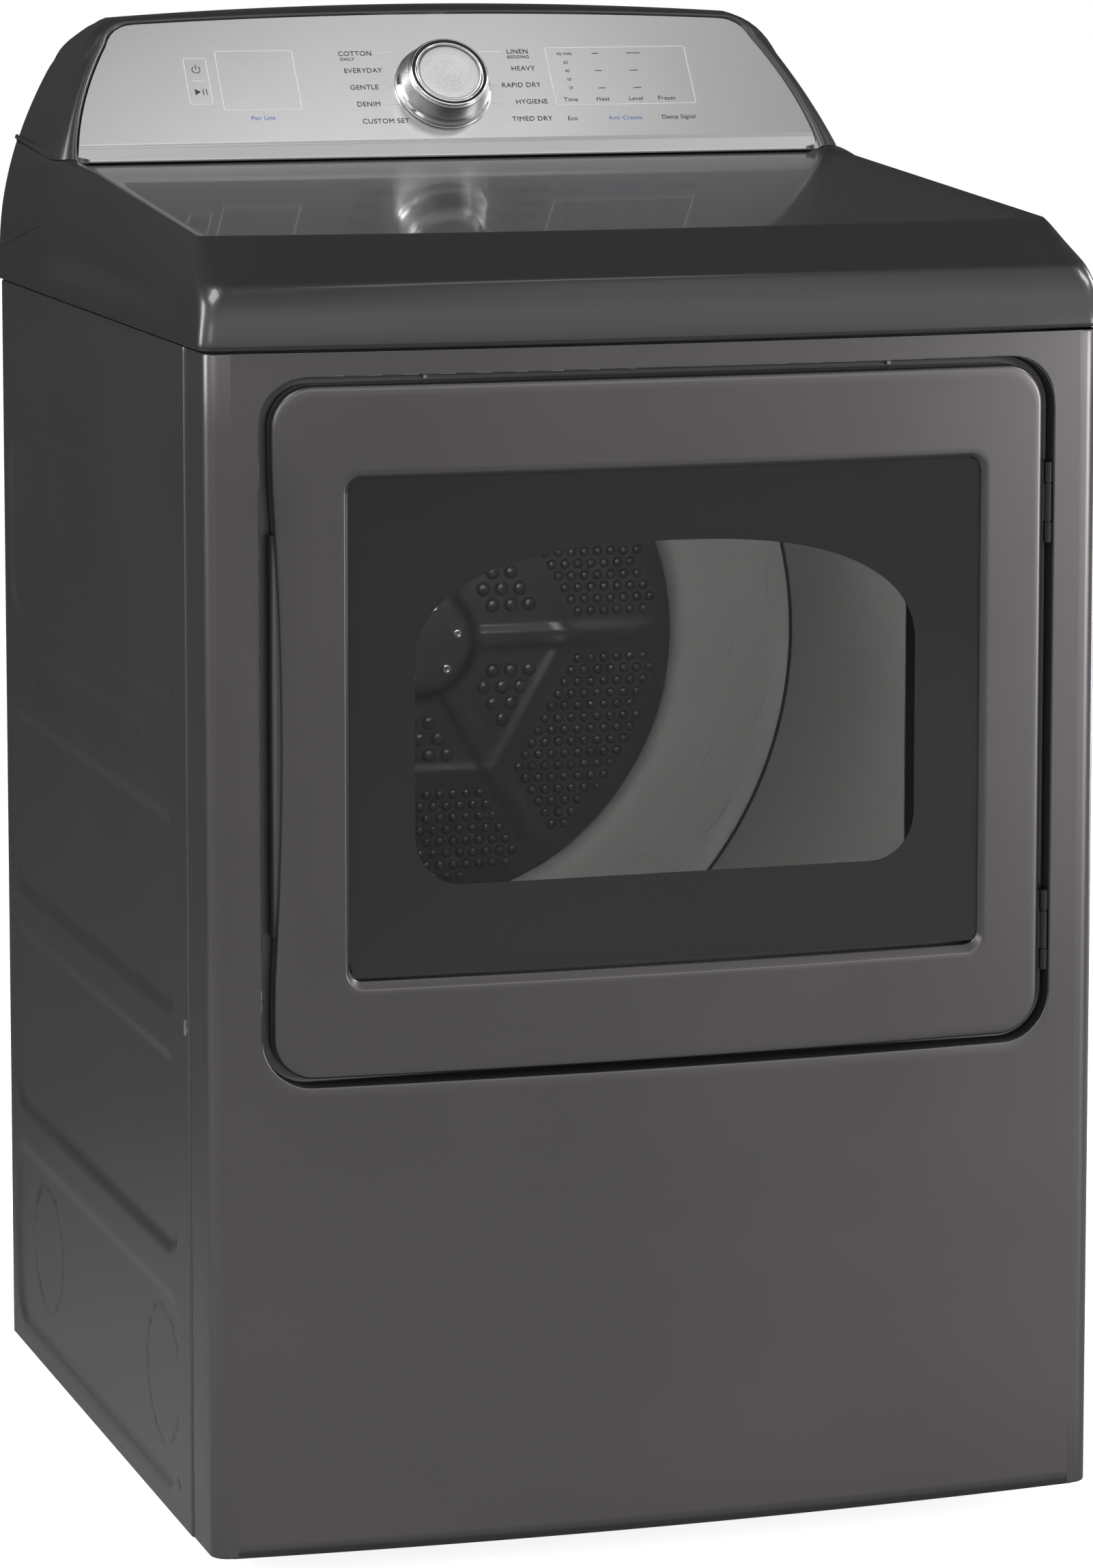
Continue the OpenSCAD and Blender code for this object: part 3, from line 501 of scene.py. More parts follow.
def build_side_panels():
    ys = grid_levels(SEAM_Y, REAR_Y, (0.3, 0.7, 1.8), (2, 0.6, 0.2))
    zs = grid_levels(0, CAB_H, (0, 0.6, 2), (2, 0.6, 0))
    tuck_y = [1.2, 0.3] + [0] * (len(ys) - 4) + [0.3, 1.2]
    tuck_z = [0.8] + [0] * (len(zs) - 2) + [0.8]
    for sign, side in SIDES:
        shape = sheet([[at(sign * (HALF - side_relief(y, z) - in_y - in_z), y, z)
                        for y, in_y in zip(ys, tuck_y)] for z, in_z in zip(zs, tuck_z)])
        skin = piece(f"Side_skin_{side}", flipped(shape) if sign > 0 else shape, "cabinet",
                     "painted_body", [f"side_panel_{side}"])
        thicken(skin, 0.0009)


# ---- top cover
RIDGE_Y0, RIDGE_Y1 = 73.0, 510.0
RIDGE_Z0, RIDGE_RISE = 959.0, 28.0
LIP_Z = 905.0


def ridge(y):
    """Half width and height of the deck's side ridge at y."""
    t = (y - RIDGE_Y0) / (RIDGE_Y1 - RIDGE_Y0)
    return 327.7 - 10.8 * max(0.0, min(t, 1.05)), RIDGE_Z0 + RIDGE_RISE * max(0.0, t)


def back_half(z):
    """Half width of the console's section at height z."""
    return 345 - 0.0019 * max(0.0, z - 905) ** 2


COVER_SIDE, COVER_CORNER, COVER_FRONT = 44, 10, 24


def cover_outline(side, front, curve, radius):
    """An outline of the cover, from its rear left round the front to its rear right.
    side gives half width and height at a depth; front is the outline's foremost depth."""
    left = []
    corner_y = front + curve + radius
    for i in range(COVER_SIDE + 1):
        y = mix(REAR_Y, corner_y, i / COVER_SIDE)
        x, z = side(y)
        left.append((-x, y, z))
    half, z = side(corner_y)
    for i in range(1, COVER_CORNER + 1):
        a = radians(180 + 90 * i / COVER_CORNER)
        left.append((-half + radius + radius * cos(a), corner_y + radius * sin(a), z))
    start_x = half - radius
    for i in range(1, COVER_FRONT + 1):
        x = -start_x * (1 - i / COVER_FRONT)
        left.append((x, front + curve * (x / start_x) ** 2, z))
    return [at(*p) for p in left + [(-x, y, z) for x, y, z in reversed(left[:-1])]]


def cover_ring(share, out, front, radius, drop=0.0, inset=0.0):
    """One outline of the top cover. share runs from 0 on the ridge to 1 at the lip; out is how
    far the side stands outside the ridge at the front; drop lowers it, inset shrinks it."""
    def side(y):
        rx, rz = ridge(y)
        x = rx + out
        if share > 0:
            x = mix(x, back_half(mix(rz, LIP_Z, share)), smooth(430, 545, y))
        return x - inset, mix(rz, LIP_Z, share) - drop

    return cover_outline(side, front, mix(27.0, BOW, smooth(0.15, 0.85, share)), radius)


def lip_ring(half, front, z, radius):
    """One level outline of the cover's lip."""
    return cover_outline(lambda _y: (half, z), front, BOW, radius)


# half width, foremost depth, height and corner radius of the lip's level outlines
LIP_RINGS = (
    (342.5, -15.5, 889, 14), (343.2, -16.5, 883.6, 14), (345.8, -19.4, 883.0, 15),
    (347.1, -20.3, 884.2, 16), (347.4, -20.4, 886.5, 16), (346.4, -19.0, 895, 16),
    (345.2, -17.4, 903.5, 16))
# arguments of cover_ring, from the lip up to the sunk deck
COVER_RINGS = (
    (0.92, 16.7, -15.8, 17), (0.80, 16.1, -13.4, 18), (0.70, 15.3, -11.3, 20),
    (0.62, 14.4, -9.65, 22), (0.587, 13.9, -8.7, 22.5), (0.561, 13.5, -7.6, 23),
    (0.542, 13.2, -6.45, 23), (0.527, 13.0, -5.1, 23), (0.48, 12.3, -0.25, 22),
    (0.40, 10.9, 8.05, 20), (0.28, 8.5, 20.5, 16), (0.16, 5.8, 33.0, 11),
    (0.08, 3.6, 41.8, 7), (0.03, 1.8, 47.6, 4.5), (0, 0.5, 50.6, 3.2, 0.15),
    (0, 0, 51.6, 3, 0.45), (0, 0, 52.6, 3, 1.4, 0.8), (0, 0, 55.5, 3, 4.6, 8),
    (0, 0, 57, 3, 5.6, 12.5), (0, 0, 59, 3, 5.9, 15), (0, 0, 62, 3, 5.9, 18))
REAR_WALL = slice(2, 22)    # the outlines, from the lip to the ridge, that the rear wall spans


def build_top_cover():
    rings = [lip_ring(*row) for row in LIP_RINGS] + [cover_ring(*row) for row in COVER_RINGS]
    verts, faces = sheet(rings)
    count = len(rings[0])
    base = len(verts) - count
    for i in range(count // 2):
        faces.append((base + i, base + i + 1, base + count - 2 - i, base + count - 1 - i))
    faces = [f for f in faces if len(set(f)) > 2]
    cover = piece("Top_cover_shell", (verts, faces), "cabinet", "cover_plastic", ["top_cover"])
    weld = cover.modifiers.new("Weld", "WELD")
    weld.merge_threshold = 0.00004
    inward = Vector((0, -0.4 * MM, 0))
    wall = [[ring[0] + inward, ring[-1] + inward] for ring in rings[REAR_WALL]]
    piece("Top_cover_rear_wall", flipped(sheet(wall)), "cabinet", "cover_plastic", flat=True)


# ---- console
FASCIA_Y, FASCIA_Z = 531.7, 986.8
FASCIA_TOP = 135.7


def on_fascia(x, s, n=0.0):
    """Row-frame point at x across, s up the fascia's slope and n out of its face."""
    return at(x, FASCIA_Y, FASCIA_Z) + (UP_SLOPE * s + OUT_OF_FASCIA * n) * MM


EDGE_SIDE, EDGE_CORNER, EDGE_CROWN = 26, 8, 20
CONSOLE_MID, CONSOLE_TOP = 985, 1104.0


def crowned(right, top):
    """The right half of an outline given an arched top, then joined to its mirror image."""
    xc, zc = right[-1]
    for i in range(1, EDGE_CROWN + 1):
        x = xc * (1 - i / EDGE_CROWN)
        right.append((x, zc + (top - zc) * (1 - (x / xc) ** 2)))
    return right + [(-x, z) for x, z in reversed(right[:-1])]


def fascia_edge():
    """Fascia outline points (x, s) from its lower right to its lower left."""
    side = [110 * i / EDGE_SIDE for i in range(EDGE_SIDE + 1)]
    right = [(312 - 0.12 * s - 0.0021 * s * s, s) for s in side]
    x0 = right[-1][0]
    for i in range(1, EDGE_CORNER + 1):
        a = radians(90 * i / EDGE_CORNER)
        x = x0 - 20.5 * (1 - cos(a)) - 6.5 * sin(a) * 0.6
        right.append((x, 110 + 18.6 * sin(a)))
    return crowned(right, FASCIA_TOP)


def console_edge():
    """Console section outline (x, z) matching fascia_edge point for point."""
    side = [mix(FASCIA_Z + 0.8, 1061, i / EDGE_SIDE) for i in range(EDGE_SIDE + 1)]
    right = [(back_half(z), z) for z in side]
    for i in range(1, EDGE_CORNER + 1):
        a = radians(mix(14, 76, i / EDGE_CORNER))
        right.append((252.5 + 47 * cos(a), 1050 + 47 * sin(a)))
    return crowned(right, CONSOLE_TOP)


def build_console():
    edge = console_edge()

    def shrunk(shrink):
        for x, z in edge:
            f = 1 - shrink / hypot(x, z - CONSOLE_MID) if shrink else 1
            yield x * f, z, CONSOLE_MID + (z - CONSOLE_MID) * f

    def upright(y, shrink=0.0):
        """Ring at depth y: its crown falls, and its lower edge rises, towards the rear."""
        fall = (y - 640) / 41 * 8.4
        rise = 9.5 * smooth(545, 681, y)
        return [at(x, y, low - fall * smooth(1050, 1092, z) + (rise if z < 992 else 0))
                for x, z, low in shrunk(shrink)]

    def sloped(back, shrink=0.0):
        """Ring parallel to the fascia and behind it."""
        points = []
        for x, z, low in shrunk(shrink):
            y = FASCIA_Y + (z - FASCIA_Z) * tan(FASCIA_LEAN) + back
            points.append(at(x, min(y + 8 * smooth(1085, 1097, z), REAR_Y), low))
        return points

    rings = [upright(REAR_Y, 3), upright(REAR_Y - 0.5, 0.6), upright(REAR_Y - 2.5),
             upright(668), upright(654)]
    rings += [sloped(back, shrink) for back, shrink in (
        (22, 0), (15, 0.15), (10, 0.8), (6, 2.0), (3, 3.8), (1.2, 6.0))]
    for wide, tall, up, out in ((1.028, 1.022, 0.6, 1.5), (1.012, 1.010, 0.2, 1.4),
                                (1.006, 1.005, 0, 0.7), (1.0035, 1.003, 0, -2.0),
                                (0.97, 0.97, 0, -2.6)):
        rings.append([on_fascia(x * wide, s * tall + up, out) for x, s in fascia_edge()])
    piece("Console_shell", sheet(rings), "cabinet", "cover_plastic", ["console_housing"])


def build_side_crease_shadow():
    """Painted shade of the short rising crease low at the rear of each side of the cover: a thin
    near-black strip laid just outside the cover's side.
    """
    for sign, side in SIDES:
        rows = []
        for i in range(21):
            t = i / 20
            y, z = mix(REAR_Y - 1, 540, t), mix(909.5, 935, t)
            x = back_half(z) + 0.25
            wide = 1.1 * (1 - t) + 0.15
            rows.append([at(sign * (x + 0.05), y, z - wide), at(sign * (x + 0.22), y, z),
                         at(sign * (x + 0.02), y, z + wide)])
        # The strip's near-black colour is painted shade of the crease.
        piece(f"Side_crease_shadow_{side}", sheet(rows), "cabinet", "cover_plastic", mat=GROOVE_SHADE)


FASCIA_CREASE = 12.4    # distance up the slope at which the fascia's lower band rolls down
FASCIA_LEVELS = (0, 0.3, 0.7, 1.2, 1.8, 3.2, 5, 7.5, 10, 11, 11.8, FASCIA_CREASE, 13, 13.8, 15,
                 17, 22, 30, 40, 50, 60, 70, 80, 90, 100, 108, 114, 119, 123, 126, 127.6)


def build_fascia():
    right = fascia_edge()[:EDGE_SIDE + EDGE_CORNER + 1]
    top_s = right[-1][1]
    us = [sin(pi / 2 * (i / 30 - 1)) for i in range(61)]
    rows = []
    for s in (*FASCIA_LEVELS, top_s):
        half = next(mix(xa, xb, (s - sa) / (sb - sa))
                    for (xa, sa), (xb, sb) in zip(right, right[1:]) if sa <= s <= sb)
        roll = (-0.26 * max(0.0, FASCIA_CREASE - s)
                - 0.25 * max(0.0, 1 - abs(s - FASCIA_CREASE) / 1.4)
                - max(0.0, 1 - s / 1.2) ** 2)
        rise = (FASCIA_TOP - top_s) * (s / top_s)
        rows.append([on_fascia(u * half, s + rise * (1 - u * u), roll) for u in us])
    piece("Fascia_plate", flipped(sheet(rows)), "cabinet", "fascia_silver", ["control_fascia"])


def on_slope(ring, lift):
    """A ring (x, s) laid on the fascia, lifted off it."""
    return [on_fascia(x, s, lift) for x, s in ring]


WINDOWS = {"Touch_key_frame": (-213, 51, -194, 95.5), "Display_frame": (-186, 45, -121, 102),
           "Status_frame": (93.5, 45, 214.5, 101.3)}
FRAME_R, FRAME_WIDTH, FRAME_LIFT = 2.2, 0.55, 0.16


def build_fascia_print():
    for i, (name, box) in enumerate(WINDOWS.items()):
        outer = grown_ring(box, FRAME_R)
        inner = grown_ring(box, FRAME_R, -FRAME_WIDTH)
        rings = [on_slope(blend_rings(outer, inner, t), lift) for t, lift in (
            (0, FRAME_LIFT * 0.2), (0.3, FRAME_LIFT), (0.7, FRAME_LIFT), (1, FRAME_LIFT * 0.2))]
        piece(name, loft(rings), "cabinet", "fascia_print", () if i else ["control_windows"],
              PRINT_WHITE)
        x0, s0, x1, s1 = box
        glass = grown_ring(box, 2.3, -0.6)
        middle = [(mix(x, (x0 + x1) / 2, 0.97), mix(s, (s0 + s1) / 2, 0.97)) for x, s in glass]
        rings = [on_slope(blend_rings(glass, middle, t), lift)
                 for t, lift in ((0, 0.05), (0.5, 0.08), (1, 0.08))]
        piece(name.replace("frame", "window"), capped(rings), "cabinet", "fascia_print")


PRINT_SIZE, NOTE_SIZE, OPTION_SIZE = 6.4, 4.2, 5.6


def word(text, x, s, size, name, mat=PRINT_DARK, align="LEFT"):
    """A printed word or number lying on the fascia."""
    curve = bpy.data.curves.new(name, "FONT")
    curve.body = text
    curve.size = size * MM
    curve.align_x = align
    curve.extrude = 0.00002
    curve.space_character = 1.06
    curve.materials.append(mat)
    obj = add_object(name, curve)
    basis = Matrix((Vector((1, 0, 0)), UP_SLOPE, OUT_OF_FASCIA)).transposed().to_4x4()
    obj.matrix_world = Matrix.Translation(on_fascia(x, s, 0.2)) @ basis
    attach(obj, "cabinet")


def bar(x0, s0, x1, s1, name, mat=PRINT_DARK, width=0.7):
    """A thin printed line between two points of the fascia."""
    along = Vector((x1 - x0, s1 - s0)).normalized()
    side = Vector((-along.y, along.x)) * width / 2
    ring = [(x0 - side.x, s0 - side.y), (x1 - side.x, s1 - side.y), (x1 + side.x, s1 + side.y),
            (x0 + side.x, s0 + side.y)]
    piece(name, capped([on_slope(ring, 0.04), on_slope(ring, 0.18)]), "cabinet",
          "fascia_print", (), mat, True)


# each row's distance up the slope, then the left and right words and where they start and end
CYCLES = ((98, "COTTON", -83, "LINEN", 79), (81.5, "EVERYDAY", -80.5, "HEAVY", 82),
          (65.3, "GENTLE", -78, "RAPID DRY", 84), (49, "DENIM", -75, "HYGIENE", 87),
          (32.5, "CUSTOM SET", -73, "TIMED DRY", 88))
TICKS = ((-53, 98, -36, 98), (-41, 81.5, -38, 81.5), (-48, 65.3, -41, 65.3), (-52, 49, -39, 48.5))
POWER_X, POWER_S, POWER_R = -203.5, 84.5, 3.3
KNOB_S = 63.3


def build_labels():
    for i, (s, left, x0, right, x1) in enumerate(CYCLES):
        word(left, x0, s - 2.2, PRINT_SIZE, f"Cycle_left_{i}")
        word(right, x1, s - 2.2, PRINT_SIZE, f"Cycle_right_{i}", align="RIGHT")
    for i, (x0, s0, x1, s1) in enumerate(TICKS):
        bar(x0, s0, x1, s1, f"Tick_left_{i}", PRINT_WHITE, 0.5)
        bar(-x1, s1, -x0 + (0 if i else 3), s0, f"Tick_right_{i}", PRINT_WHITE, 0.5)
    word("DAILY", -82, 91.2, NOTE_SIZE, "Cycle_note_left")
    word("BEDDING", 79, 91.2, NOTE_SIZE, "Cycle_note_right", align="RIGHT")
    for i, number in enumerate(("90 MIN", "60", "40", "20", "10")):
        word(number, 107 if i else 103, 93.5 - 8.3 * i, 4.0, f"Minutes_{i}")
    for i in range(3):
        s = 95 - 17 * i
        bar(133, s, 139, s, f"Heat_bar_{i}")
        bar(163, s, 170 if i else 175, s, f"Level_bar_{i}")
    for i, (text, x) in enumerate((("Time", 101), ("Heat", 129), ("Level", 157), ("Preset", 182))):
        word(text, x, 48.6, OPTION_SIZE, f"Option_{i}")
    word("Eco", 101, 30.2, OPTION_SIZE, "Option_low_0")
    word("Anti Crease", 136, 30.2, OPTION_SIZE, "Option_low_1", PRINT_BLUE)
    word("Damp Signal", 182, 30.2, OPTION_SIZE, "Option_low_2")
    word("Pair Link", -165, 35.5, 5.4, "Option_low_3", PRINT_BLUE)
    bar(-208, 73.5, -199, 73.5, "Key_divider", PRINT_WHITE, 0.5)
    centre = on_fascia(POWER_X, POWER_S)
    wire = [(POWER_R + side, height)
            for side, height in ((0.35, 0), (0.35, 0.18), (-0.35, 0.18), (-0.35, 0))]
    verts, faces = lathe(wire, centre, OUT_OF_FASCIA, 48)
    faces = [f for f in faces if sum((verts[i] - centre).dot(UP_SLOPE) for i in f) / 4 < 0.0027]
    piece("Power_icon_ring", (verts, faces), "cabinet", "fascia_print", (), PRINT_DARK, True)
    bar(POWER_X, 84.6, POWER_X, 89.2, "Power_icon_bar")
    triangle = on_slope([(-207.5, 60), (-207.5, 66), (-202.7, 63)], 0.2)
    piece("Play_icon", (triangle, [(0, 2, 1)]), "cabinet", "fascia_print", (), PRINT_DARK, True)
    for letter, x in (("a", -200.6), ("b", -197.9)):
        bar(x, 60.2, x, 65.8, f"Pause_icon_{letter}")


def build_knob():
    centre = on_fascia(0, KNOB_S)
    flare = [(3, 0.9), (38.6, 0.9), (39.8, 1.3), (40, 2.2), (39.9, 3.4), (39.2, 4.6), (38.0, 5.8),
             (37.0, 7.2), (36.6, 8.2)]
    piece("Knob_flare", lathe(flare, centre, OUT_OF_FASCIA, 120), "knob", "knob_metal",
          mat=MATS["chrome"])

    def knurled(r, h, a):
        strength = 0.34 if 9 < h < 20.6 else 0
        return r + strength * abs(sin(a * 60 + h * 1.6)) * abs(sin(a * 60 - h * 1.6))

    skirt = [(36.6, 8.2)] + [(mix(36.2, 33.4, i / 22), 8.8 + 12.2 * i / 22) for i in range(23)]
    skirt += [(32.9, 21.6), (32.4, 21.9)]
    piece("Knob_skirt", lathe(skirt, centre, OUT_OF_FASCIA, 480, knurled), "knob",
          "knob_metal", ["knob_grip"], SKIRT)
    ring = [(32.4, 21.9), (32.5, 23.0), (32.2, 23.9), (31.4, 24.5), (30.6, 24.3), (30.2, 23.4),
            (29.6, 22.9), (28.9, 23.1), (28.6, 23.8), (28.0, 24.1), (27.4, 23.8), (27.1, 22.6)]
    piece("Knob_bezel", lathe(ring, centre, OUT_OF_FASCIA, 160), "knob", "chrome", ["knob_ring"])
    # Near-black lining laid in the bezel's groove: painted shade where the groove is in shadow.
    groove = [(31.1, 24.46), (30.6, 24.36), (30.2, 23.51), (29.6, 23.04), (28.95, 23.21),
              (28.6, 23.86)]
    piece("Knob_groove_shadow", lathe(groove, centre, OUT_OF_FASCIA, 160), "knob", "chrome", mat=GROOVE_SHADE)
    cap = [(27.0, 22.4), (26.7, 23.3), (26.2, 23.7), (24, 23.78), (16, 23.7), (8, 23.62),
           (1.5, 23.6), (0.05, 23.6)]
    piece("Knob_disc", lathe(cap, centre, OUT_OF_FASCIA, 120), "knob", "knob_metal",
          ["knob_cap"], SPUN)


# ---- door
WIN_X0, WIN_X1, WIN_Z0, WIN_Z1 = -243.0, 249.6, 417.4, 792.5
WIN_R = 13.5
DOOR_BOX = (-DOOR_X, DOOR_Z0, DOOR_X, DOOR_Z1)
DOOR_R = 30
DOOR_BACK = 10.0
EDGE_ROLL = 4.2     # how far in from the door's outline its face starts


def door_ring(grow):
    """The door's outline, with its scooped left edge."""
    return [(x + (SCOOP * scoop_at(z) if x < -DOOR_X - grow + 2 else 0), z)
            for x, z in grown_ring(DOOR_BOX, DOOR_R, grow)]


def door_face(x, z):
    """Depth of the door's face: bowed, and pressed back beside its scooped edge."""
    press = 3.6 * smooth(-268, -294, x) * scoop_at(z) ** 0.8
    return bow(x) + press


def build_door():
    rings = [laid(door_ring(grow), depth)
             for grow, depth in ((-3, DOOR_BACK), (-0.4, DOOR_BACK - 0.4), (0, DOOR_BACK - 2))]
    for grow, depth in ((0, 4.6), (-0.15, 3.1), (-0.7, 1.7), (-1.7, 0.65), (-3.0, 0.12),
                        (-EDGE_ROLL, 0)):
        rings.append(laid(door_ring(grow), depth, door_face))
    start = door_ring(-EDGE_ROLL)
    window = rounded_ring(WIN_X0, WIN_Z0, WIN_X1, WIN_Z1, WIN_R)
    for t in (0.08, 0.18, 0.3, 0.42, 0.54, 0.66, 0.8, 0.93):
        rings.append(laid(blend_rings(start, window, t), 0, door_face))
    for grow, depth in ((0.8, 0), (0.2, 0.12), (-0.4, 0.5), (-4.9, 3.9), (-5.3, 4.3), (-5.5, 5.2),
                        (-5.5, 13)):
        side = grow if grow > 0 else 0.6 * grow
        ring = rounded_ring(WIN_X0 - side, WIN_Z0 - grow, WIN_X1 + side, WIN_Z1 + side,
                            WIN_R + side)
        rings.append(laid(ring, depth, bow))
    piece("Door_shell", loft(rings), "door", "painted_body", ["door_outer_panel"])


GLASS_DEPTH = 4.9
GLASS_MID = (2, 605)
CLEAR_X0, CLEAR_X1, CLEAR_Z0, CLEAR_R = -190.7, 194.4, 491.0, 35.0
ARCH_Z0, ARCH_RISE = 655, 82


def clear_outline():
    """Outline of the clear part of the door's glass: straight sides, rounded lower corners and
    an arched top, from the lower right round to the lower left."""
    mid, half = (CLEAR_X0 + CLEAR_X1) / 2, (CLEAR_X1 - CLEAR_X0) / 2
    right = []
    for i in range(11):
        a = radians(-90 + 90 * i / 10)
        right.append((CLEAR_X1 - CLEAR_R * (1 - cos(a)), CLEAR_Z0 + CLEAR_R * (1 + sin(a))))
    for i in range(1, 13):
        right.append((CLEAR_X1, mix(CLEAR_Z0 + CLEAR_R, ARCH_Z0, i / 12)))
    for i in range(1, 52):
        a = pi / 2 * i / 51
        right.append((mid + half * cos(a) ** 0.78, ARCH_Z0 + ARCH_RISE * sin(a) ** 0.92))
    return right + [(2 * mid - x, z) for x, z in reversed(right[:-1])]


def build_glass():
    inner = clear_outline()
    full = rounded_ring(WIN_X0 + 3, WIN_Z0 + 5.2, WIN_X1 - 3, WIN_Z1 - 3, 10.5, 60, 20)
    cx, cz = GLASS_MID

    def outward(x, z):
        """The point of the window's edge in the same direction from the middle."""
        a = atan2(z - cz, x - cx)
        return min(full, key=lambda p: abs((atan2(p[1] - cz, p[0] - cx) - a + pi) % (2 * pi) - pi))

    outer = [outward(x, z) for x, z in inner]
    for corner in ((WIN_X0 + 6, WIN_Z0 + 8), (WIN_X1 - 6, WIN_Z0 + 8), (WIN_X1 - 6, WIN_Z1 - 6),
                   (WIN_X0 + 6, WIN_Z1 - 6)):
        k = min(range(len(outer)), key=lambda i: dist(outer[i], corner))
        outer[k] = min(full, key=lambda p: dist(p, corner))
    rings = [laid(blend_rings(outer, inner, i / 10), GLASS_DEPTH, bow) for i in range(11)]
    piece("Glass_border", loft(rings), "door", "dark_glass", ["door_glass"])
    rings = [laid([(mix(cx, x, f), mix(cz, z, f)) for x, z in inner], GLASS_DEPTH, bow)
             for f in (1, 0.9, 0.8, 0.7, 0.6, 0.5, 0.4, 0.3, 0.2, 0.1, 0.03)]
    piece("Glass_clear", capped(rings), "door", "dark_glass", mat=SMOKED)


def build_handle():
    """Liner of the finger pocket, along the door's scooped edge: grey plastic drawn much darker,
    as painted shade of the recess.
    """
    lo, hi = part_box("handle_insert")
    z0, z1 = lo.z / MM - Z0, hi.z / MM - Z0
    rows = []
    for i in range(61):
        z = mix(z0, z1, i / 60)
        edge = -DOOR_X + SCOOP * scoop_at(z)
        out = min(-DOOR_X + 0.4, edge - 0.3)
        face = bow(-DOOR_X)
        row = [(edge + 0.5, face + 4.6), (mix(edge, out, 0.5), face + 4.4),
               (mix(edge, out, 0.86), face + 3.6), (mix(edge, out, 0.94), face + 2.9),
               (out, face + 3.1), (out - 0.2, face + 3.8), (out - 0.2, DOOR_BACK - 1.2),
               (mix(edge, out, 0.5), DOOR_BACK - 0.6), (edge + 0.6, DOOR_BACK - 0.6)]
        rows.append([at(x, y, z) for x, y in row])
    piece("Finger_pocket_liner", flipped(sheet(rows)), "door", "grey_plastic",
          ["handle_insert"], POCKET_SHADED)


# ---- drum
PLATE_R = 221.5
PLATE_FRONT = DRUM_Y1 - 6
HEXAGON_R = 112
DRUM_AXIS = (0, 1, 0)


def drum_point(r, a, y):
    return at(r * cos(a), y, DRUM_Z + r * sin(a))


def cone_y(r):
    """Depth of the drum's slightly conical rear ring at radius r."""
    return PLATE_FRONT - 26 * (r - PLATE_R) / (DRUM_R - PLATE_R)


def build_drum():
    centre = at(0, 0, DRUM_Z)
    lip = ((DRUM_R + 0.9, 0.1), (292, 0.1), (290.6, 0.6), (291.5, 1.2), (DRUM_R - 4, 1.6),
           (DRUM_R - 1, 4), (DRUM_R, 9))
    wall = [(r, DRUM_Y0 + y) for r, y in lip]
    wall += [(DRUM_R, mix(DRUM_Y0 + 12, DRUM_Y1 - 38, t / 12)) for t in range(13)]
    wall += [(DRUM_R - 0.2, DRUM_Y1 - 34), (DRUM_R - 1.6, DRUM_Y1 - 32.4),
             (DRUM_R - 3.6, DRUM_Y1 - 33.2)]
    wall += [(r, cone_y(r)) for r in (DRUM_R - 5.5, 305, 290, 275, 260, 245, 234)]
    wall += [(PLATE_R, DRUM_Y1 - 3)]
    shell = piece("Drum_skin", flipped(lathe(wall, centre, DRUM_AXIS, 160)), "drum",
                  "drum_steel", ["drum_shell"])
    thicken(shell, 0.0008)
    # Near-black strip laid on the joint of the drum wall and its rear ring: painted shade of the
    # seam's groove.
    seam = [(DRUM_R - 0.6, DRUM_Y1 - 34.6), (DRUM_R - 2.4, DRUM_Y1 - 33.6),
            (DRUM_R - 4.6, cone_y(DRUM_R - 4.6) - 0.5)]
    piece("Drum_seam_shadow", lathe(seam, centre, DRUM_AXIS, 160), "drum", "drum_steel", mat=GROOVE_SHADE)
    parts = []
    for i in range(18):
        a0 = radians(20 * i + 4)
        for k, (r, span) in enumerate(((300, 8), (268, 6))):
            a = a0 + radians(9 * k)
            rows = []
            for j in range(9):
                t = j / 8
                aa, rr = a + radians(span) * t, r + 6 * t
                y, swell = cone_y(rr), 1.3 * sin(pi * t)
                rows.append([drum_point(rr + side, aa, y - lift) for side, lift in (
                    (-1.6, 0.05), (0, 0.1 + swell), (1.6, 0.05))])
            parts.append(sheet(rows))
    piece("Drum_pressed_lines", join_parts(parts), "drum", "drum_steel")


def hexagonal(r, a):
    """Distances of a polar point from its nearest rib's line and, towards a flat of the
    hexagonal frame, from the drum's axis."""
    sector = radians(60)
    rib = (a + sector / 2) % sector - sector / 2
    return abs(r * sin(rib)), r * cos((a % sector) - sector / 2)


def plate_height(r, a):
    """How far the drum's stamped rear plate stands in front of its outer rim."""
    across, hexagon = hexagonal(r, a)
    h = 1.5 * smooth(PLATE_R - 2, PLATE_R - 14, r)
    h += 2.4 * smooth(12, 4, across) * smooth(40, 55, r) * smooth(210, 196, r)
    h += 1.5 * smooth(8, 1, abs(hexagon - HEXAGON_R))
    return h + 9.0 * smooth(52, 40, r)


def plate_dimples(pitch, size, reach, outer):
    """Raised dimples on a triangular grid, outside or inside the plate's hexagonal frame."""
    parts = []
    turn = [2 * pi * k / 10 for k in range(10)]
    for row in range(-reach, reach + 1):
        for col in range(-reach, reach + 1):
            x = (col + 0.5 * (row % 2)) * pitch
            z = row * pitch * 0.866
            r, a = hypot(x, z), atan2(z, x)
            across, hexagon = hexagonal(r, a)
            if (hexagon > HEXAGON_R) != outer or abs(hexagon - HEXAGON_R) < 9 * size:
                continue
            if r < 62 or r > PLATE_R - 16 or across < 14:
                continue
            base = PLATE_FRONT - plate_height(r, a)
            parts.append(loft([[at(x + rr * size * cos(t), base - lift,
                                   DRUM_Z + z + rr * size * sin(t)) for t in turn]
                               for rr, lift in ((4.3, 0.1), (3.6, 1.5), (2.6, 2.3), (1.4, 2.6),
                                                (0.3, 2.7))]))
    return parts


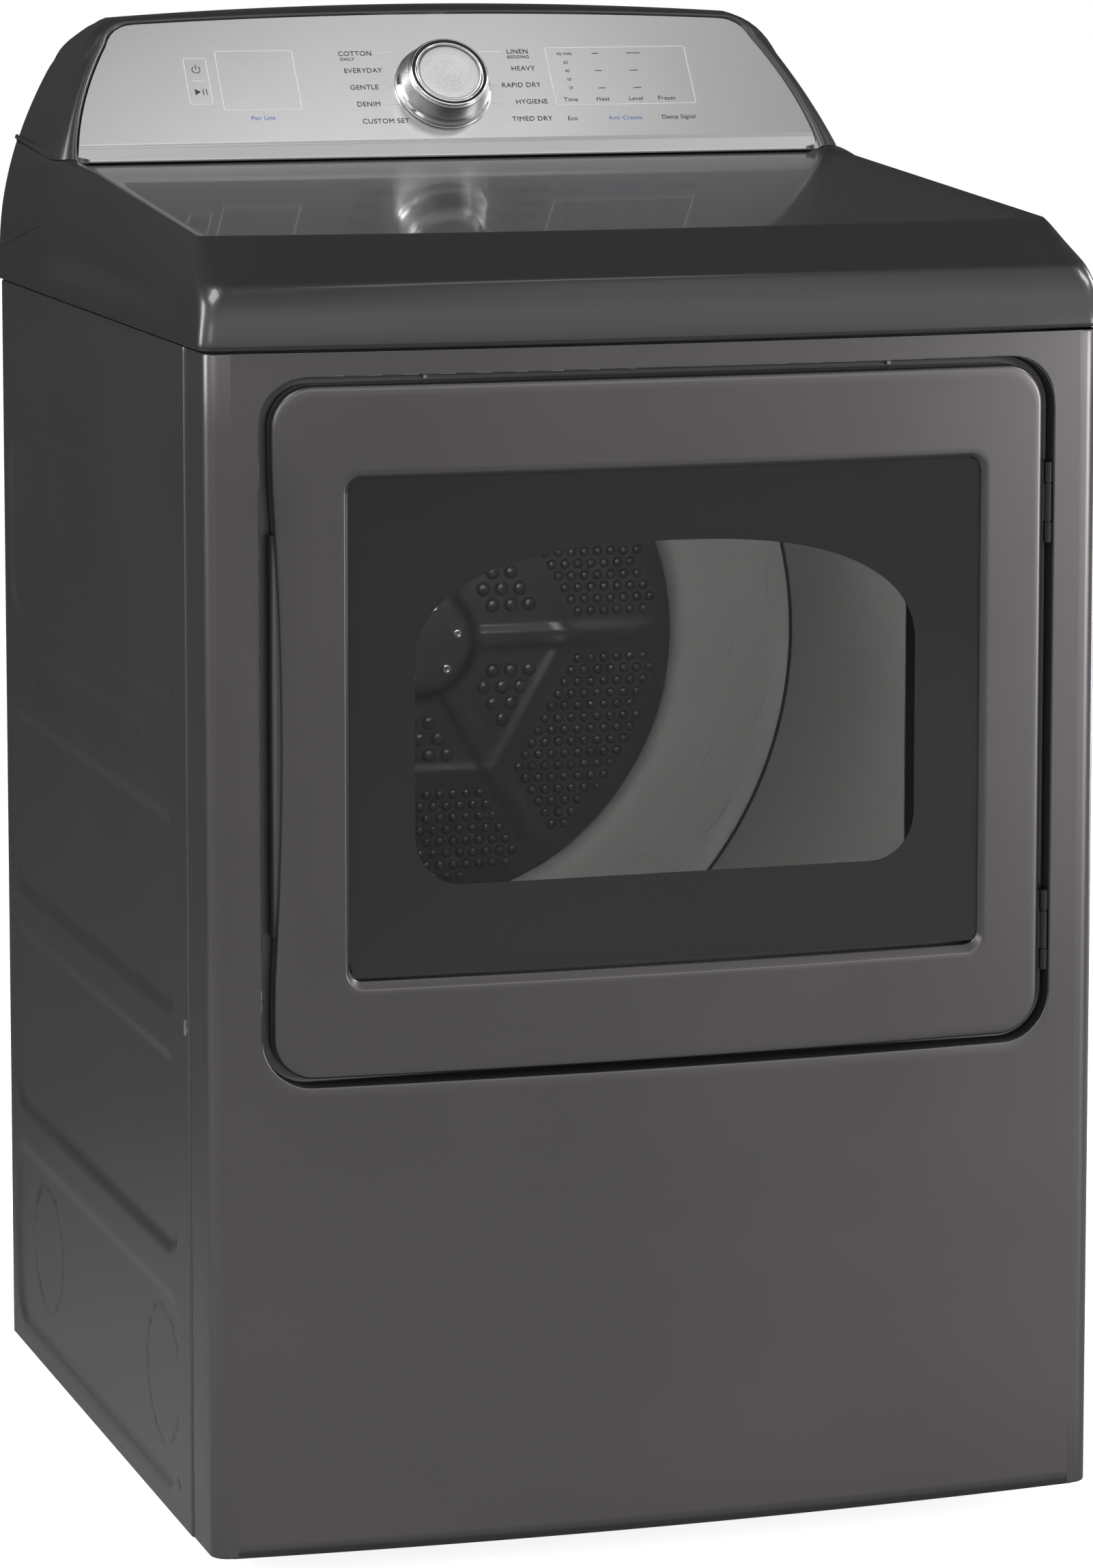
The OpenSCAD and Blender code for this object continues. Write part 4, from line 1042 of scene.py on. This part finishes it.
def build_drum_plate():
    """Dark stamped rear plate: hub, radial ribs, hexagonal frame and raised dimples."""
    radii = [PLATE_R - 8 - 3.6 * k for k in range(58)]
    radii = [PLATE_R, PLATE_R - 1, PLATE_R - 4] + [r for r in radii if r > 9] + [8, 4, 0.3]
    turn = [pi * i / 180 for i in range(360)]
    rings = [[drum_point(r, a, PLATE_FRONT - plate_height(r, a)) for a in turn] for r in radii]
    piece("Rear_plate_stamping", flipped(loft(rings)), "drum", "dark_steel",
          ["drum_rear_plate"], PLATE)
    parts = plate_dimples(11.6, 1.0, 22, True) + plate_dimples(16.0, 1.45, 10, False)
    piece("Rear_plate_dimples", flipped(join_parts(parts)), "drum", "dark_steel", mat=PLATE)
    head = [(4.2, 0), (4.2, -2.4), (3.4, -3.0), (1.2, -3.0), (0.9, -2.2), (0.05, -2.2)]
    places = [drum_point(31, radians(60 * i + 12), PLATE_FRONT - 10.2) for i in range(6)]
    piece("Hub_screws", join_parts([lathe(head, place, DRUM_AXIS, 18) for place in places]),
          "drum", "bare_steel")


# ---- CAD nodes that stay
def finish_cad_nodes():
    slots = {s["node"]: s["material_slot"] for s in frame["record"]["subparts"]}
    for name, obj in frame["nodes"].items():
        obj.data.materials.clear()
        obj.data.materials.append(MATS[slots[name]])
        for polygon in obj.data.polygons:
            polygon.material_index = 0


# ---- stage
FLOOR_SIZE = 14
FLOOR_GLOW = 0.85
FLOOR_BOUNCE, FLOOR_BOUNCE_REAR = 0.42, 0.13
SKY_STOPS = ((0.0, 0.30), (0.5, 0.55), (0.6, 0.75), (0.72, 0.9), (0.85, 0.45), (0.93, 0.18),
             (1.0, 0.08))
BACK_LEVEL = 0.06
SKY_STRENGTH = 1.25


def for_camera(tree, output, cast, shown):
    """The camera sees the shown shader, and bounced light meets the cast one."""
    blend_shaders(tree, output, add_node(tree, "LightPath", "Is Camera Ray"), cast, shown)


def floor_material():
    """Pale floor that looks plain white, and throws back only a little light on the machine,
    less behind it than in front."""
    mat, tree, shader = new_material("Floor")
    clouds = noise(tree, 3)
    feed(tree, shader, {"Base Color": shades(tree, (0.93, 0.93, 0.93), 0.01, clouds),
                        "Roughness": ranged(tree, 0.6, 0.7, clouds),
                        "Emission Color": (1, 1, 1, 1), "Emission Strength": FLOOR_GLOW})
    place = add_node(tree, "NewGeometry", "Position")
    depth = add_node(tree, "SeparateXYZ", "Y", {"Vector": place})
    bounce = add_node(tree, "MapRange", "Result",
                      {"Value": depth, "From Min": 0.0, "From Max": 1.2,
                       "To Min": FLOOR_BOUNCE, "To Max": FLOOR_BOUNCE_REAR})
    for_camera(tree, "Material Output",
               add_node(tree, "BsdfDiffuse", "BSDF", {"Color": bounce}), shader.outputs["BSDF"])
    return mat


def build_floor():
    mesh = bpy.data.meshes.new("Floor")
    corners = ((-1, -1), (1, -1), (1, 1), (-1, 1))
    mesh.from_pydata([(x * FLOOR_SIZE, y * FLOOR_SIZE, 0) for x, y in corners], [], [(0, 1, 2, 3)])
    mesh.materials.append(floor_material())
    add_object("Floor", mesh)


def build_world():
    """Studio sky, bright at mid height and dark behind the machine; plain white to look at."""
    world = bpy.data.worlds.new("World")
    bpy.context.scene.world = world
    world.use_nodes = True
    tree = world.node_tree
    parts = tree.nodes.new("ShaderNodeSeparateXYZ")
    feed(tree, parts, {"Vector": add_node(tree, "TexCoord", "Generated")})
    height = add_node(tree, "MapRange", "Result", {"Value": parts.outputs["Z"], "From Min": -1})
    by_height = tree.nodes.new("ShaderNodeValToRGB")
    feed(tree, by_height, {"Fac": height})
    stops = by_height.color_ramp.elements      # a new ramp has stops at 0 and at 1
    for position, _ in SKY_STOPS[1:-1]:
        stops.new(position)
    for stop, (_, value) in zip(stops, SKY_STOPS):
        stop.color = (value, value, value, 1)
    facing = add_node(tree, "MapRange", "Result",
                      {"Value": parts.outputs["Y"], "From Min": 0.35, "From Max": -0.45,
                       "To Min": BACK_LEVEL}, interpolation_type="SMOOTHSTEP")
    sky = add_node(tree, "VectorMath", "Vector", {0: by_height.outputs["Color"], "Scale": facing},
                   operation="SCALE")
    studio = tree.nodes["Background"]
    feed(tree, studio, {"Color": sky, "Strength": SKY_STRENGTH})
    plain = add_node(tree, "Background", "Background", {"Color": (1, 1, 1, 1)})
    for_camera(tree, "World Output", studio.outputs["Background"], plain)


# name, place, the point it faces, width, height and power of each light, in metres and watts
LIGHTS = (
    ("Key", (0.62, -1.05, 3.7), (0, 0.1, 0.9), 1.0, 0.4, 3.0),
    ("Right_front", (3.8, -3.3, 0.7), (0, 0, 0.6), 1.5, 1.2, 52),
    ("Right_top", (2.3, -0.5, 2.5), (0.3, -0.3, 0.95), 0.8, 0.8, 18),
    ("Left_strip", (-2.9, 0.5, 1.7), (0, 0, 0.9), 0.9, 1.8, 42),
    ("Left_fill", (-1.9, -1.6, 1.5), (-0.34, -0.1, 0.7), 0.7, 0.7, 3),
    ("Corner_light", (-1.35, -0.5, 2.9), (-0.34, -0.3, 0.95), 0.9, 0.9, 20),
    ("Right_strip", (3.0, 1.2, 1.0), (0, 0, 0.6), 0.8, 2.2, 40),
    ("Drum_light", at(60, 130, 745), at(120, 640, 560), 0.16, 0.16, 2.5),
)


def build_lights():
    """Soft rectangular studio lights that the camera doesn't see."""
    for name, location, target, width, height, power in LIGHTS:
        data = bpy.data.lights.new(name, "AREA")
        data.shape = "RECTANGLE"
        data.size, data.size_y = width, height
        data.energy = power
        obj = add_object(name, data)
        obj.location = location
        direction = Vector(target) - Vector(location)
        obj.rotation_euler = direction.to_track_quat("-Z", "Y").to_euler()
        obj.visible_camera = False


CAMERA_AT = at(-1353.2, -4043.8, 1273.8)
CAMERA_YAW, CAMERA_PITCH = radians(17.357), radians(7.279)
CAMERA_LENS = 135.3
CAMERA_SHIFT = -0.15


def build_camera():
    data = bpy.data.cameras.new("Camera")
    data.lens = CAMERA_LENS
    data.sensor_width = 36
    data.shift_y = CAMERA_SHIFT
    data.clip_end = 100
    data.dof.use_dof = False
    camera = add_object("Camera", data)
    camera.location = CAMERA_AT
    camera.rotation_euler = (pi / 2 - CAMERA_PITCH, 0, -CAMERA_YAW)
    bpy.context.scene.camera = camera


build_camera()
finish_cad_nodes()
build_front_panel()
build_side_panels()
build_top_cover()
build_console()
build_side_crease_shadow()
build_fascia()
build_fascia_print()
build_labels()
build_knob()
build_door()
build_glass()
build_handle()
build_drum()
build_drum_plate()
build_floor()
build_world()
build_lights()
bpy.context.scene.view_settings.view_transform = "Standard"
